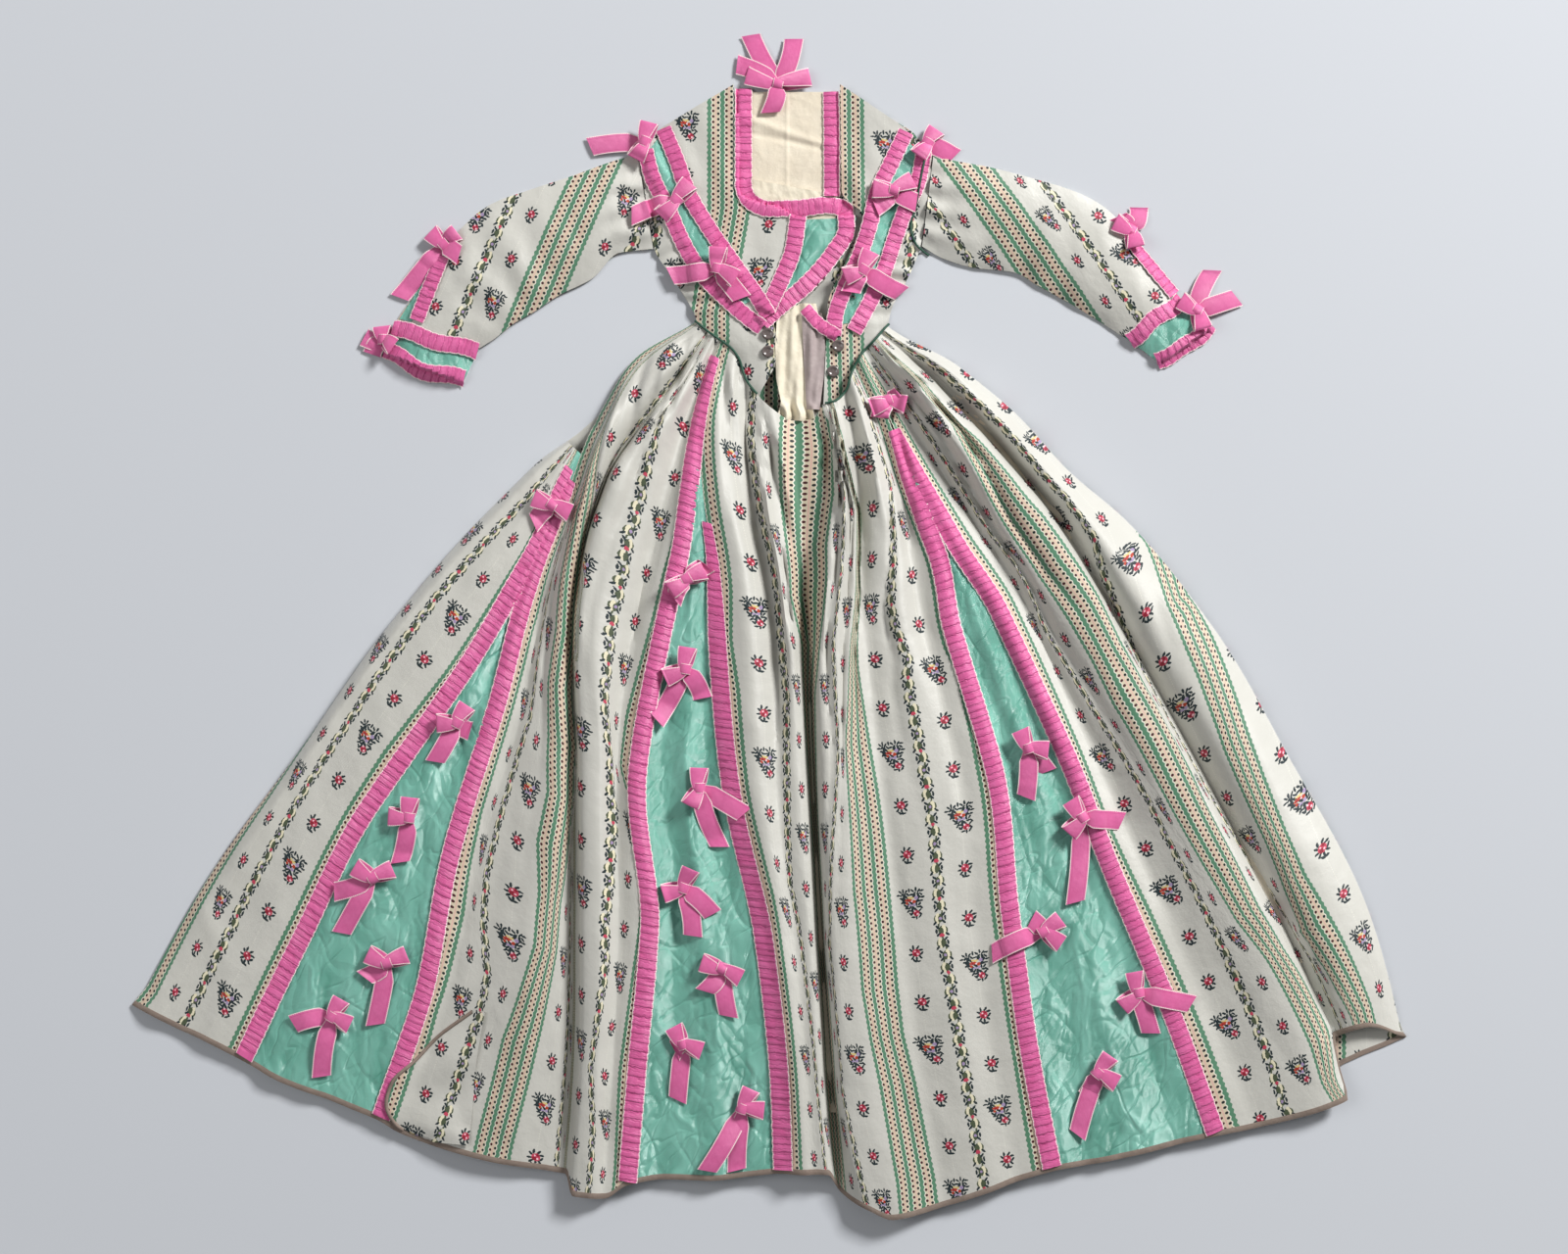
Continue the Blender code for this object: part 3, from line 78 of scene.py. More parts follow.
ANGLE_STATIONS = (180, 276, 372, 456, 552, 720, 900, 1080, 1248)
HEIGHT_STATIONS = (200, 372, 720, 1080, 1250)
Fold = namedtuple("Fold", "name angles heights hem")
FOLDS = (
    Fold("side_left", (-41, -47.2, -44.0, -45.6, -45.5, -44.4, -42.6, -41.5, -39.9),
         (0, 0, 0, 0, 0), 1273),
    Fold("a_crest", (-41, -47.2, -43.8, -44.4, -44.2, -43.2, -41.6, -40.2, -38.6),
         (4, 8, 12, 9, 6), 1266),
    Fold("a_garland", (-41, -47.2, -43.7, -43.2, -42.8, -42.2, -40.6, -38.7, -37.1),
         (4, 7, 6, 4, 3), 1260),
    Fold("a_swell", (-41, -47.2, -43.6, -41.8, -40.6, -39.6, -38.4, -36.9, -35.5),
         (4, 8, 11, 8, 6), 1252),
    Fold("a_right", (-41, -47.2, -43.4, -40.0, -37.0, -35.6, -35.5, -34.2, -33.1),
         (4, 6, 6, 5, 4), 1246),
    Fold("gore_left_swell", (-41, -47.2, -43.3, -39.6, -36.7, -34.1, -33.4, -31.7, -30.6),
         (4, 5, 9, 9, 6), 1243),
    Fold("gore_left_dip", (-41, -47.2, -43.2, -39.2, -36.3, -32.7, -31.0, -28.5, -27.8),
         (4, 5, 4, 3, 3), 1234),
    Fold("b_left", (-41, -47.2, -43.0, -38.7, -35.9, -31.0, -28.2, -25.4, -24.6),
         (1, 4, 8, 6, 4), 1229),
    Fold("b_valley", (-40, -45.2, -41.8, -37.2, -33.9, -28.6, -26.2, -23.9, -23.4),
         (6, 8, 2, 2, 2), 1233),
    Fold("b_stripe", (-38.5, -42, -40.0, -35.4, -31.0, -24.2, -20.2, -18.6, -18.2),
         (10, 22, 17, 13, 9), 1226),
    Fold("b_foot", (-35.5, -35.0, -35.6, -33.6, -30.0, -22.5, -17.8, -14.9, -13.4),
         (3, 3, 2, 2, 1.5), 1216),
    Fold("b_lip", (-34.4, -33.2, -34.6, -33.0, -29.3, -21.9, -17.3, -14.4, -12.9),
         (8, 18, 21, 21, 15), 1238),
    Fold("b2_crest", (-33.4, -31.2, -31.8, -30.3, -27.0, -19.9, -15.8, -13.3, -12.0),
         (10, 24, 26, 24, 16), 1236),
    Fold("b2_valley", (-32.2, -28.4, -25.8, -23.6, -21.4, -18.0, -14.2, -12.2, -11.1),
         (3, 4, 10, 12, 9), 1234),
    Fold("b_right", (-31.2, -26.0, -21.4, -18.9, -17.8, -16.0, -11.8, -10.7, -9.9),
         (8, 18, 16, 12, 8), 1213),
    Fold("gore_centre_left", (-31.2, -26.0, -20.7, -17.2, -15.7, -13.6, -9.6, -8.4, -7.8),
         (8, 17.5, 7, 6, 4), 1199),
    Fold("gore_centre_swell", (-31.2, -26.0, -20.1, -16.0, -13.6, -11.0, -7.0, -5.4, -5.0),
         (8, 17.5, 12, 10, 7), 1193),
    Fold("gore_centre_right", (-31.2, -26.0, -19.5, -14.9, -12.3, -8.9, -4.8, -3.2, -2.8),
         (8, 17.5, 7, 5, 3), 1185),
    Fold("c_left", (-31.2, -26.0, -18.8, -13.6, -10.6, -6.8, -2.9, -1.4, -0.95),
         (8, 18, 14, 10, 6), 1180),
    Fold("c_ridge", (-25.5, -21.0, -15.2, -10.0, -7.0, -4.3, -1.5, -0.2, 0.4),
         (12, 26, 25, 20, 13), 1180),
    Fold("c_shade", (-20.0, -15.5, -10.0, -5.6, -3.4, -2.2, -0.4, 0.5, 0.9),
         (3, 8, 20, 18, 12), 1180),
    Fold("c_brow", (-13.0, -8.0, -5.0, -2.4, -0.9, 0.4, 1.0, 1.4, 1.7),
         (10, 24, 22, 17, 11), 1181),
    Fold("c_hollow", (-3.0, -1.5, -0.5, 0.1, 0.6, 1.1, 1.5, 1.9, 2.4),
         (1, 1, 0, 0, 0), 1205),
    Fold("c2_lip", (5.0, 7.0, 5.6, 3.4, 2.2, 1.8, 2.0, 2.4, 4.0),
         (9, 26, 26, 23, 15), 1226),
    Fold("c2_crest", (8.0, 10.0, 8.4, 6.4, 4.6, 3.3, 3.2, 3.7, 5.2),
         (10, 30, 30, 25, 16), 1240),
    Fold("c2_valley", (11.0, 13.0, 11.0, 9.4, 8.4, 8.0, 7.8, 7.8, 8.4),
         (3, 9, 14, 10, 7), 1232),
    Fold("c2_garland", (15.0, 16.2, 16.2, 13.5, 12.4, 12.0, 10.8, 10.6, 10.8),
         (9, 25, 20, 15, 10), 1224),
    Fold("c2_dip", (17.6, 18.8, 18.7, 17.0, 15.9, 15.4, 13.6, 12.7, 12.6),
         (3, 9, 12, 9, 6), 1218),
    Fold("c_right", (20.0, 21.8, 20.9, 20.9, 19.3, 18.7, 16.3, 14.95, 14.45),
         (7, 17, 15, 11, 7), 1216),
    Fold("gore_right_left", (20.0, 21.8, 21.4, 21.7, 20.9, 20.6, 18.6, 17.6, 17.0),
         (7, 16.5, 8, 7, 5), 1222),
    Fold("gore_right_swell", (20.0, 21.8, 22.0, 22.5, 22.6, 22.3, 21.0, 20.2, 19.5),
         (7, 16.5, 13, 11, 7), 1228),
    Fold("gore_right_right", (20.0, 21.8, 22.5, 23.3, 24.2, 24.0, 22.8, 22.4, 21.9),
         (7, 16.5, 7, 6, 4), 1234),
    Fold("d_left", (20.0, 21.8, 23.1, 24.1, 25.6, 25.5, 24.8, 24.5, 23.95),
         (7, 17, 15, 11, 7), 1242),
    Fold("d_valley", (23.0, 25.4, 27.3, 28.3, 28.7, 28.1, 27.4, 26.9, 26.2),
         (2, 3, 4, 6, 5), 1254),
    Fold("d_ridge", (27.0, 31.0, 33.6, 34.3, 34.4, 33.3, 32.2, 31.6, 30.2),
         (9, 24, 25, 21, 15), 1273),
    Fold("d_brow", (29.6, 35.6, 37.3, 37.6, 37.0, 35.2, 33.8, 32.9, 31.3),
         (7, 17, 18, 17, 13), 1276),
    Fold("d_hollow", (30.8, 38.0, 39.3, 39.4, 38.3, 36.3, 34.8, 33.6, 32.3),
         (1, 0, 1, 1, 1), 1206),
    Fold("d_outer", (32.4, 40.6, 42.0, 42.0, 41.0, 38.9, 37.0, 35.4, 33.8),
         (5, 17, 17, 15, 9), 1212),
    Fold("side_right", (34.8, 44.0, 45.6, 45.0, 45.7, 44.2, 41.4, 39.2, 36.0),
         (0, 0, 0, 0, 0), 1255),
)
FOLD_NAMES = [fold.name for fold in FOLDS]

Panel = namedtuple("Panel", "name first last start cloth phase")
PANELS = (
    Panel("skirt_panel_left", "side_left", "a_right", 408.0, "brocade", 149.5),
    Panel("gore_left", "a_right", "b_left", 408.0, "taffeta", 0.0),
    Panel("skirt_panel_left_front", "b_left", "b_right", 0.0, "brocade", 20.0),
    Panel("gore_centre", "b_right", "c_left", 300.0, "taffeta", 0.0),
    Panel("skirt_panel_centre", "c_left", "c_right", 0.0, "brocade", 36.0),
    Panel("gore_right", "c_right", "d_left", 300.0, "taffeta", 0.0),
    Panel("skirt_panel_right", "d_left", "side_right", 0.0, "brocade", 129.0),
)

SkirtRibbon = namedtuple("SkirtRibbon", "name seam start")
SKIRT_RIBBONS = (
    SkirtRibbon("ribbon_gore_left_outer", "a_right", 430.0),
    SkirtRibbon("ribbon_gore_left_inner", "b_left", 440.0),
    SkirtRibbon("ribbon_gore_centre_left", "b_right", 216.0),
    SkirtRibbon("ribbon_gore_centre_right", "c_left", 408.0),
    SkirtRibbon("ribbon_gore_right_inner", "c_right", 300.0),
    SkirtRibbon("ribbon_gore_right_outer", "d_left", 300.0),
)

HIDDEN_THICKNESS = ((180, 5), (276, 12), (420, 23), (720, 26), (960, 20), (1140, 9), (1260, 3))
WAIST_SEAM = (
    (-48, 196), (-41, 194), (-31, 195), (-26.5, 197), (-22, 205), (-17.5, 226), (-12.5, 242), (-7, 257),
    (-3, 265), (3, 265), (6, 248), (9, 247), (13, 237), (16.5, 216), (22, 198), (28, 190), (36, 182),
    (46, 180),
)
BACK_WAIST_Y = 352.0
BACK_HEM = ((-41, 1258), (-30, 1222), (-13, 1198), (-2, 1170), (3, 1170), (10, 1200), (22, 1222),
            (29, 1246), (31.6, 1240), (36, 1256))

# Where the woven lines run: the cloth's own distance across, and places as distance in px and angle
WovenLine = namedtuple("WovenLine", "across places")
WOVEN = {
    "skirt_panel_left": (
        WovenLine(85.0, ((350, -43), (450, -42.8), (550, -42.6), (650, -41.6), (750, -40.5), (850, -39.3),
                         (950, -38), (1045, -37))),
        WovenLine(143.5, ((600, -37.1), (700, -37.2), (800, -36.5), (900, -35.4), (1000, -34.5))),
    ),
    "skirt_panel_left_front": (
        WovenLine(26.5, ((400, -36.3), (500, -32.3), (600, -29.3), (700, -27.5), (800, -25.3),
                         (900, -24.2), (1000, -23.4))),
        WovenLine(85.0, ((400, -36.0), (590, -27.7), (650, -26.8), (700, -26), (750, -25.2), (800, -23.8),
                         (850, -22), (900, -21.6), (1000, -21.3))),
        WovenLine(143.5, ((300, -43.5), (350, -39.7), (400, -35.5), (450, -32.7), (500, -29.8),
                          (550, -27.8), (600, -25.3), (650, -23.3), (700, -22.5), (750, -20.8),
                          (800, -19.8), (900, -19.7), (1000, -19.2))),
        WovenLine(196.5, ((300, -41.0), (350, -36.5), (400, -33.0), (450, -29.8), (500, -27.0),
                          (550, -25.0), (600, -22.3), (650, -20.8), (700, -19.7), (750, -18.9),
                          (800, -18.0), (900, -17.3), (1000, -17.0))),
        WovenLine(262.0, (("b_foot", -0.35),)),
        WovenLine(368.0, (("b_foot", 0.0),)),
        WovenLine(392.0, (("b_lip", 0.0),)),
        WovenLine(425.0, ((350, -28), (385, -27), (410, -25.8), (440, -24.8), (470, -24), (500, -22.8),
                          (540, -21.5), (600, -18.6), (650, -17), (700, -16), (750, -15.3), (800, -14.3),
                          (900, -13.7), (960, -12.7), (1000, -12.3))),
        WovenLine(483.5, ((300, -22), (350, -21.3), (400, -20.5), (450, -19.7), (550, -18.9), (600, -17.9),
                          (650, -14.6), (700, -13.6), (800, -12.4), (900, -11.9), (1000, -11.0))),
    ),
    "skirt_panel_centre": (
        WovenLine(26.5, ((400, -10), (450, -8.9), (500, -7.1), (600, -5), (650, -3.6), (700, -2.3),
                         (750, -1.5), (900, -0.2), (1000, 0.1))),
        WovenLine(85.0, ((425, -3), (450, -2.5), (500, -1.7), (600, -1.4), (690, -1.0), (800, 0.4),
                         (900, 1.0), (1000, 1.5))),
        WovenLine(143.5, ((200, -6), (270, -5), (300, -4.3), (340, -3), (400, -1.8), (450, 0), (500, 0.2),
                          (600, 0.8), (750, 1.2), (900, 1.6), (1040, 2.1))),
        WovenLine(196.5, ((250, 7.5), (300, 6.3), (350, 4.2), (400, 3.5), (450, 2.4), (500, 1.6),
                          (600, 1.5), (750, 1.7), (900, 2.2), (1040, 2.7))),
        WovenLine(255.0, ((300, 8.2), (400, 5.2), (450, 4.0), (560, 3.8), (600, 3.3), (650, 2.7),
                          (700, 2.3), (750, 2.05), (900, 2.5), (1040, 3.9))),
        WovenLine(313.5, ((320, 10), (380, 8.2), (440, 6.5), (475, 5.7), (500, 5.3), (550, 4.5),
                          (600, 4.4), (700, 4.2), (800, 4.3), (850, 4.6), (900, 5), (1000, 5.5))),
        WovenLine(366.5, ((320, 10.8), (380, 8.9), (440, 7.4), (475, 6.9), (500, 7), (550, 7.2),
                          (600, 7.4), (700, 7.3), (800, 7), (850, 7), (900, 7.4), (1000, 7.8))),
        WovenLine(425.0, ((300, 17.5), (350, 15.3), (400, 13), (425, 12.2), (475, 13), (500, 12.3),
                          (600, 12), (700, 11.3), (750, 10.8), (900, 10.6), (1000, 10.5))),
        WovenLine(483.5, ((475, 17.5), (500, 18.0), (600, 17), (700, 15.5), (800, 14.4), (900, 13.8),
                          (1000, 13.4))),
    ),
    "skirt_panel_right": (
        WovenLine(26.5, ((300, 25.5), (350, 26.3), (400, 27.2), (500, 27.7), (600, 27.1), (700, 26.3),
                         (800, 26.2), (900, 26), (1000, 25.6))),
        WovenLine(85.0, ((425, 30.3), (500, 29.5), (600, 29.8), (700, 30), (800, 29.7), (900, 29.2),
                         (1000, 28.5))),
        WovenLine(143.5, ((275, 33.5), (300, 32.8), (350, 32), (400, 31.8), (450, 32), (500, 32.2),
                          (550, 32), (600, 31.5), (700, 31.2), (800, 31), (850, 31), (900, 31.4),
                          (1000, 31), (1050, 30.5))),
        WovenLine(196.5, ((275, 35), (300, 36.3), (350, 37), (400, 37.4), (450, 37.2), (500, 36.8),
                          (550, 35.8), (600, 35.3), (700, 34.2), (800, 33.3), (850, 32.9), (900, 32.8),
                          (950, 32.8), (1000, 32.5), (1050, 31.3))),
        WovenLine(255.0, ((300, 41.5), (400, 41.5), (450, 40.8), (475, 39.3), (500, 38.3), (550, 36.8),
                          (600, 35.6), (650, 35.0), (800, 34.2), (1000, 33.2))),
        WovenLine(313.5, ((475, 46), (500, 44.9), (525, 43.4), (550, 42.0), (600, 40.3), (650, 38.8),
                          (700, 37.4), (750, 36.5), (800, 35.8), (850, 35), (900, 34.2), (1000, 33.9))),
        WovenLine(366.5, ((500, 46.5), (550, 45.2), (600, 43.7), (650, 41.9), (700, 40.1), (750, 38.7),
                          (800, 37.6), (850, 36.8), (900, 36.5), (1000, 35.4))),
    ),
}
# The cloth's distance across at the two edges of each panel, by distance in px
WOVEN_EDGES = {
    "skirt_panel_left": (((300, 62), (600, 40), (825, 14), (1050, 4)), ((300, 166), (1050, 166))),
    "skirt_panel_left_front": (((200, 4), (1050, 4)), ((200, 506), (1050, 506))),
    "skirt_panel_centre": (((200, 4), (1050, 4)), ((200, 506), (1050, 506))),
    "skirt_panel_right": (((200, 4), (1050, 4)), (
        (200, 284), (350, 292), (450, 306), (475, 312), (500, 322), (560, 368), (630, 380), (750, 398),
        (900, 412), (1050, 420))),
}

# Soft creases: depth and half width in millimetres, and the path in px
Crease = namedtuple("Crease", "depth width path")
CREASES = (
    Crease(7.1, 5, ((648, 352), (628, 420), (612, 500))),
    Crease(-6.7, 6, ((668, 345), (650, 400), (640, 470))),
    Crease(7.7, 5, ((690, 342), (672, 410), (655, 500))),
    Crease(-7.1, 5, ((702, 340), (690, 400), (672, 480))),
    Crease(-7.7, 5, ((738, 372), (742, 440), (745, 520))),
    Crease(7.1, 5, ((748, 382), (757, 450), (768, 530))),
    Crease(-7.1, 5, ((760, 398), (776, 460), (792, 540))),
    Crease(-8.3, 5, ((776, 418), (790, 480), (806, 560))),
    Crease(7.1, 5, ((790, 428), (802, 490), (815, 560))),
    Crease(-7.1, 5, ((842, 425), (848, 470), (850, 540))),
    Crease(7.7, 5, ((852, 420), (860, 480), (862, 560))),
    Crease(-7.1, 5, ((862, 408), (872, 470), (880, 550))),
    Crease(7.1, 5, ((870, 398), (888, 460), (902, 540))),
    Crease(-7.1, 5, ((884, 372), (912, 430), (930, 500))),
    Crease(7.1, 6, ((902, 352), (950, 420), (1000, 500))),
    Crease(-7.1, 6, ((912, 345), (980, 410), (1045, 500))),
    Crease(6.7, 6, ((925, 345), (1010, 405), (1085, 480))),
    Crease(-6.1, 7, ((945, 352), (1040, 425), (1120, 520))),
    Crease(1.4, 9, ((520, 560), (430, 680), (370, 770))),
    Crease(-1.5, 9, ((560, 620), (480, 760), (430, 860))),
    Crease(1.4, 8, ((300, 900), (260, 980), (215, 1050))),
    Crease(-1.2, 10, ((520, 820), (500, 960), (470, 1100))),
    Crease(1.3, 9, ((545, 900), (540, 1020), (520, 1150))),
    Crease(-1.3, 8, ((620, 700), (625, 860), (622, 1000))),
    Crease(1.3, 8, ((640, 1000), (630, 1100), (625, 1190))),
    Crease(-1.2, 9, ((935, 700), (965, 860), (985, 1040))),
    Crease(1.3, 9, ((900, 900), (925, 1060), (950, 1190))),
    Crease(-1.3, 10, ((1120, 620), (1190, 760), (1250, 900))),
    Crease(1.4, 10, ((1180, 600), (1270, 740), (1330, 880))),
    Crease(-1.2, 8, ((1230, 960), (1290, 1050), (1330, 1110))),
    Crease(1.0, 4, ((1060, 770), (1110, 785), (1160, 780))),
    Crease(-1.0, 4, ((880, 640), (915, 650), (950, 645))),
    Crease(1.0, 4, ((640, 905), (665, 915), (690, 912))),
)

# Bodice
BODICE_CENTRE_X = 22.0
BODICE_RISE = ((250, 10), (330, 11), (400, 10), (450, 9), (530, 6), (620, 4), (680, 3))
BODICE_HALF_WIDTH = ((250, 100), (330, 110), (370, 124), (405, 140), (450, 166), (520, 178), (620, 180),
                     (680, 180))
FRONT_DOME_POWER = 2.4
FrontLine = namedtuple("FrontLine", "name points waist_angle strips")
FRONT_LEFT = (
    FrontLine("side", (
        (-159, 575), (-154, 543), (-147, 499), (-140, 460), (-119, 426), (-102, 400), (-92, 382)), -41, 8),
    FrontLine("robing_outer", (
        (-153, 586), (-147, 551), (-125, 507), (-109, 471), (-86, 432), (-62, 396), (-54, 360)), -26.5, 8),
    FrontLine("robing_inner", (
        (-130, 609), (-113, 573), (-99, 531), (-68, 483), (-46, 443), (-22, 392), (-24, 345)), -17.5, 14),
    FrontLine("centre", (
        (-43, 661), (-41, 595), (-39, 527), (25, 497), (18, 444), (4, 384), (12, 333)), -12.5, 0),
)
FRONT_RIGHT = (
    FrontLine("centre", (
        (87, 661), (88, 597), (89, 531), (116, 497), (98, 451), (72, 390), (70, 345)), 6.2, 14),
    FrontLine("robing_inner", (
        (169, 606), (152, 567), (136, 531), (132, 492), (112, 443), (87, 385), (84, 345)), 10.5, 8),
    FrontLine("robing_outer", (
        (190, 584), (184, 551), (169, 515), (155, 477), (141, 435), (120, 393), (104, 352)), 20.0, 8),
    FrontLine("side", (
        (200, 575), (197, 543), (192, 507), (186, 465), (172, 428), (158, 403), (150, 385)), 35.6, 0),
)
FRONT_ROWS = 66
STOMACHER_EDGES = (((29, 494), (22, 443), (9, 387)), ((107, 497), (91, 450), (32, 387)))
GAUZE_EDGES = (((11, 392), (8, 340), (9, 300), (15, 272), (10, 250)),
               ((58, 392), (68, 340), (66, 300), (52, 272), (56, 247)))
VEIL_EDGES = (((40, 380), (42, 340), (44, 300), (46, 262)), ((64, 380), (69, 340), (67, 300), (62, 262)))
NECK_EDGES = (((-22, 545), (-20, 530), (-8, 518)), ((70, 528), (66, 522), (68, 514)))
LINING_EDGES = (((-35, 652), (-35, 560), (-35, 480)), ((82, 652), (82, 560), (82, 480)))
BODICE_BACK_EDGES = (
    ((-55, 650), (-134, 604), (-158, 572), (-146, 505), (-139, 462), (-110, 412), (-85, 372), (-70, 352)),
    ((97, 650), (176, 604), (199, 572), (192, 505), (185, 464), (163, 412), (142, 372), (128, 352)),
)
# The cloth's distance across on each front: rows of height, with the place of the stripe's middle,
# and how much narrower the pattern runs there
FRONT_WOVEN = {
    "bodice_front_left": ((661, -48.6, 1.0), (508, -48.6, 1.0), (440, -60.0, 0.98), (380, -72.0, 0.9),
                          (250, -70.0, 0.85)),
    "bodice_front_right": ((661, 89.5, 1.0), (508, 91.0, 1.0), (440, 88.0, 0.98), (380, 92.0, 0.9),
                           (250, 96.0, 0.85)),
}
FRONT_PHASE = {"bodice_front_left": 69.0, "bodice_front_right": 45.0}

# Sleeves
SleeveRow = namedtuple("SleeveRow", "outer inner rise")
SLEEVE_LEFT = (
    SleeveRow((-160.5, 575), (-141.5, 460), 4), SleeveRow((-188, 568), (-183, 455), 9),
    SleeveRow((-247, 547), (-217, 423), 12), SleeveRow((-293, 532), (-257, 403), 12),
    SleeveRow((-341, 514), (-287, 383), 13), SleeveRow((-382, 479), (-313, 368), 14),
    SleeveRow((-416, 429), (-334, 351), 12), SleeveRow((-459, 366), (-354, 338), 9),
)
SLEEVE_RIGHT = (
    SleeveRow((201.5, 575), (187.5, 463), 4), SleeveRow((222, 569), (214, 448), 9),
    SleeveRow((269, 560), (250, 437), 12), SleeveRow((327, 545), (300, 431), 12),
    SleeveRow((378, 529), (331, 414), 13), SleeveRow((420, 503), (367, 394), 14),
    SleeveRow((457, 452), (400, 374), 12), SleeveRow((499, 402), (436, 351), 9),
)
CUFF_LEFT_END = ((-470, 334), (-374, 297))
CUFF_RIGHT_END = ((543, 366), (477, 321))
SLEEVES = (("left", SLEEVE_LEFT, CUFF_LEFT_END), ("right", SLEEVE_RIGHT, CUFF_RIGHT_END))
SLEEVE_DOME_POWER = 2.2
CUFF_RISE = 9.0
SLEEVE_COLUMNS = 26
SLEEVE_ROWS = 60
UNDER_COLUMNS = 12
UNDER_ROWS = 50
CUFF_COLUMNS = 40
CUFF_ROWS = 12
# Grain of each sleeve: a point on the stripe's middle in px, the direction the cloth runs, how far
# off the garland sits and where a bouquet sits along it
SleeveGrain = namedtuple("SleeveGrain", "x y run_x run_y garland phase")
SLEEVE_GRAIN = {
    "left": SleeveGrain(609, 171, -0.40, 0.917, 78.0, 154.0),
    "right": SleeveGrain(983, 165, 0.575, 0.818, 63.0, 60.0),
}

# Deep narrow troughs that follow a fold line: depth, half width, and distances where they run
Trough = namedtuple("Trough", "fold depth width start end")
TROUGHS = (
    Trough("a_right", -2.0, 10, 560, 1250),
    Trough("b_valley", -3.0, 9, 420, 1230),
    Trough("b_foot", -7.0, 8, 380, 1216),
    Trough("b2_valley", -4.0, 8, 330, 1236),
    Trough("c_shade", -3.0, 10, 300, 620),
    Trough("c_hollow", -13.0, 8, 420, 1210),
    Trough("c2_valley", -3.0, 9, 330, 900),
    Trough("c_shade", -6.0, 9, 330, 700),
    Trough("c2_dip", -3.0, 9, 330, 800),
    Trough("d_valley", -3.0, 9, 330, 1000),
    Trough("d_hollow", -8.0, 8, 230, 1206),
    Trough("d_hollow", -8.0, 7, 230, 560),
)
# Cartridge pleats at the waist: cloth taken by each, their height and how far down they run
GATHER_PITCH = 25.0
GATHER_HEIGHT = 15.0
GATHER_LENGTH = 150.0
# Room beside a ruched ribbon where the pleats lie flat, and the distance over which they rise
RIBBON_SEAT = 17.0
SEAT_FADE = 24.0
# Larger folds that run on below the gathers
LONG_FOLD_PITCH = 60.0
LONG_FOLD_HEIGHT = 11.0
LONG_FOLD_LENGTH = 330.0


def run_lengths(path):
    """Distance along a path at each of its points."""
    return np.concatenate(([0.0], np.cumsum(np.linalg.norm(np.diff(path, axis=0), axis=1))))


def smoothed(values):
    """Values with their short swings taken out."""
    window = np.hanning(SMOOTHING) / np.hanning(SMOOTHING).sum()
    return np.convolve(np.pad(values, SMOOTHING // 2, mode="edge"), window, mode="valid")


def smooth_curve(knots, values, at):
    """Reads one monotone curve for each place: knots and values have a row for each place."""
    step = np.diff(knots, axis=1)
    slope = np.diff(values, axis=1) / step
    product = slope[:, :-1] * slope[:, 1:]
    total = np.where(product > 0.0, slope[:, :-1] + slope[:, 1:], 1.0)
    inner = np.where(product > 0.0, 2.0 * product / total, 0.0)
    tangent = np.concatenate((slope[:, :1], inner, slope[:, -1:]), axis=1)
    place = np.clip((knots <= at[:, None]).sum(axis=1) - 1, 0, knots.shape[1] - 2)
    row = np.arange(len(at))
    length = step[row, place]
    t = np.clip((at - knots[row, place]) / length, 0.0, 1.0)
    leave = tangent[row, place] * length
    arrive = tangent[row, place + 1] * length
    start = values[row, place] * (1 + 2 * t) * (1 - t) ** 2 + leave * t * (1 - t) ** 2
    return start + values[row, place + 1] * t * t * (3 - 2 * t) + arrive * t * t * (t - 1)


def table_curve(table, at):
    """Reads a table of pairs as one smooth curve."""
    at = np.atleast_1d(np.asarray(at, float))
    knots = np.tile([float(pair[0]) for pair in table], (len(at), 1))
    values = np.tile([float(pair[1]) for pair in table], (len(at), 1))
    return smooth_curve(knots, values, at)


def dense_table(stations, rows):
    radius = np.arange(TABLE_FROM, TABLE_TO, TABLE_STEP)
    return np.stack([table_curve(list(zip(stations, row)), radius) for row in rows], axis=1)


ANGLE_TABLE = dense_table(ANGLE_STATIONS, [fold.angles for fold in FOLDS])
for line in range(1, len(FOLDS)):
    ANGLE_TABLE[:, line] = np.maximum(ANGLE_TABLE[:, line], ANGLE_TABLE[:, line - 1] + ANGLE_STEP)
HEIGHT_TABLE = dense_table(HEIGHT_STATIONS, [fold.heights for fold in FOLDS])


def read_rows(table, radius):
    place = np.clip((radius - TABLE_FROM) / TABLE_STEP, 0.0, len(table) - 1.001)
    low = place.astype(int)
    share = (place - low)[:, None]
    return table[low] * (1.0 - share) + table[low + 1] * share


def fold_angles(radius):
    return read_rows(ANGLE_TABLE, radius)


def left_side(angles, radius):
    return np.where(radius < ANGLE_STATIONS[2], angles[:, FOLD_NAMES.index("b_left")], angles[:, 0])


def hidden_rise(angle, radius, angles):
    inside = np.minimum(angle - left_side(angles, radius), angles[:, -1] - angle)
    share = np.clip(np.radians(inside) * radius / ROUNDED_EDGE, 0.0, 1.0)
    return table_curve(HIDDEN_THICKNESS, radius) * np.sqrt(1.0 - (1.0 - share) ** 2)


def fan_to_plan(angle, radius):
    return FAN_X + radius * np.sin(np.radians(angle)), FAN_Y - radius * np.cos(np.radians(angle))


def plan_to_fan(x, y):
    return np.degrees(np.arctan2(x - FAN_X, FAN_Y - y)), np.hypot(x - FAN_X, FAN_Y - y)


def px_to_plan(px, py):
    return (px - PX_CENTRE_X) * PX, (PX_CENTRE_Y - py) * PX


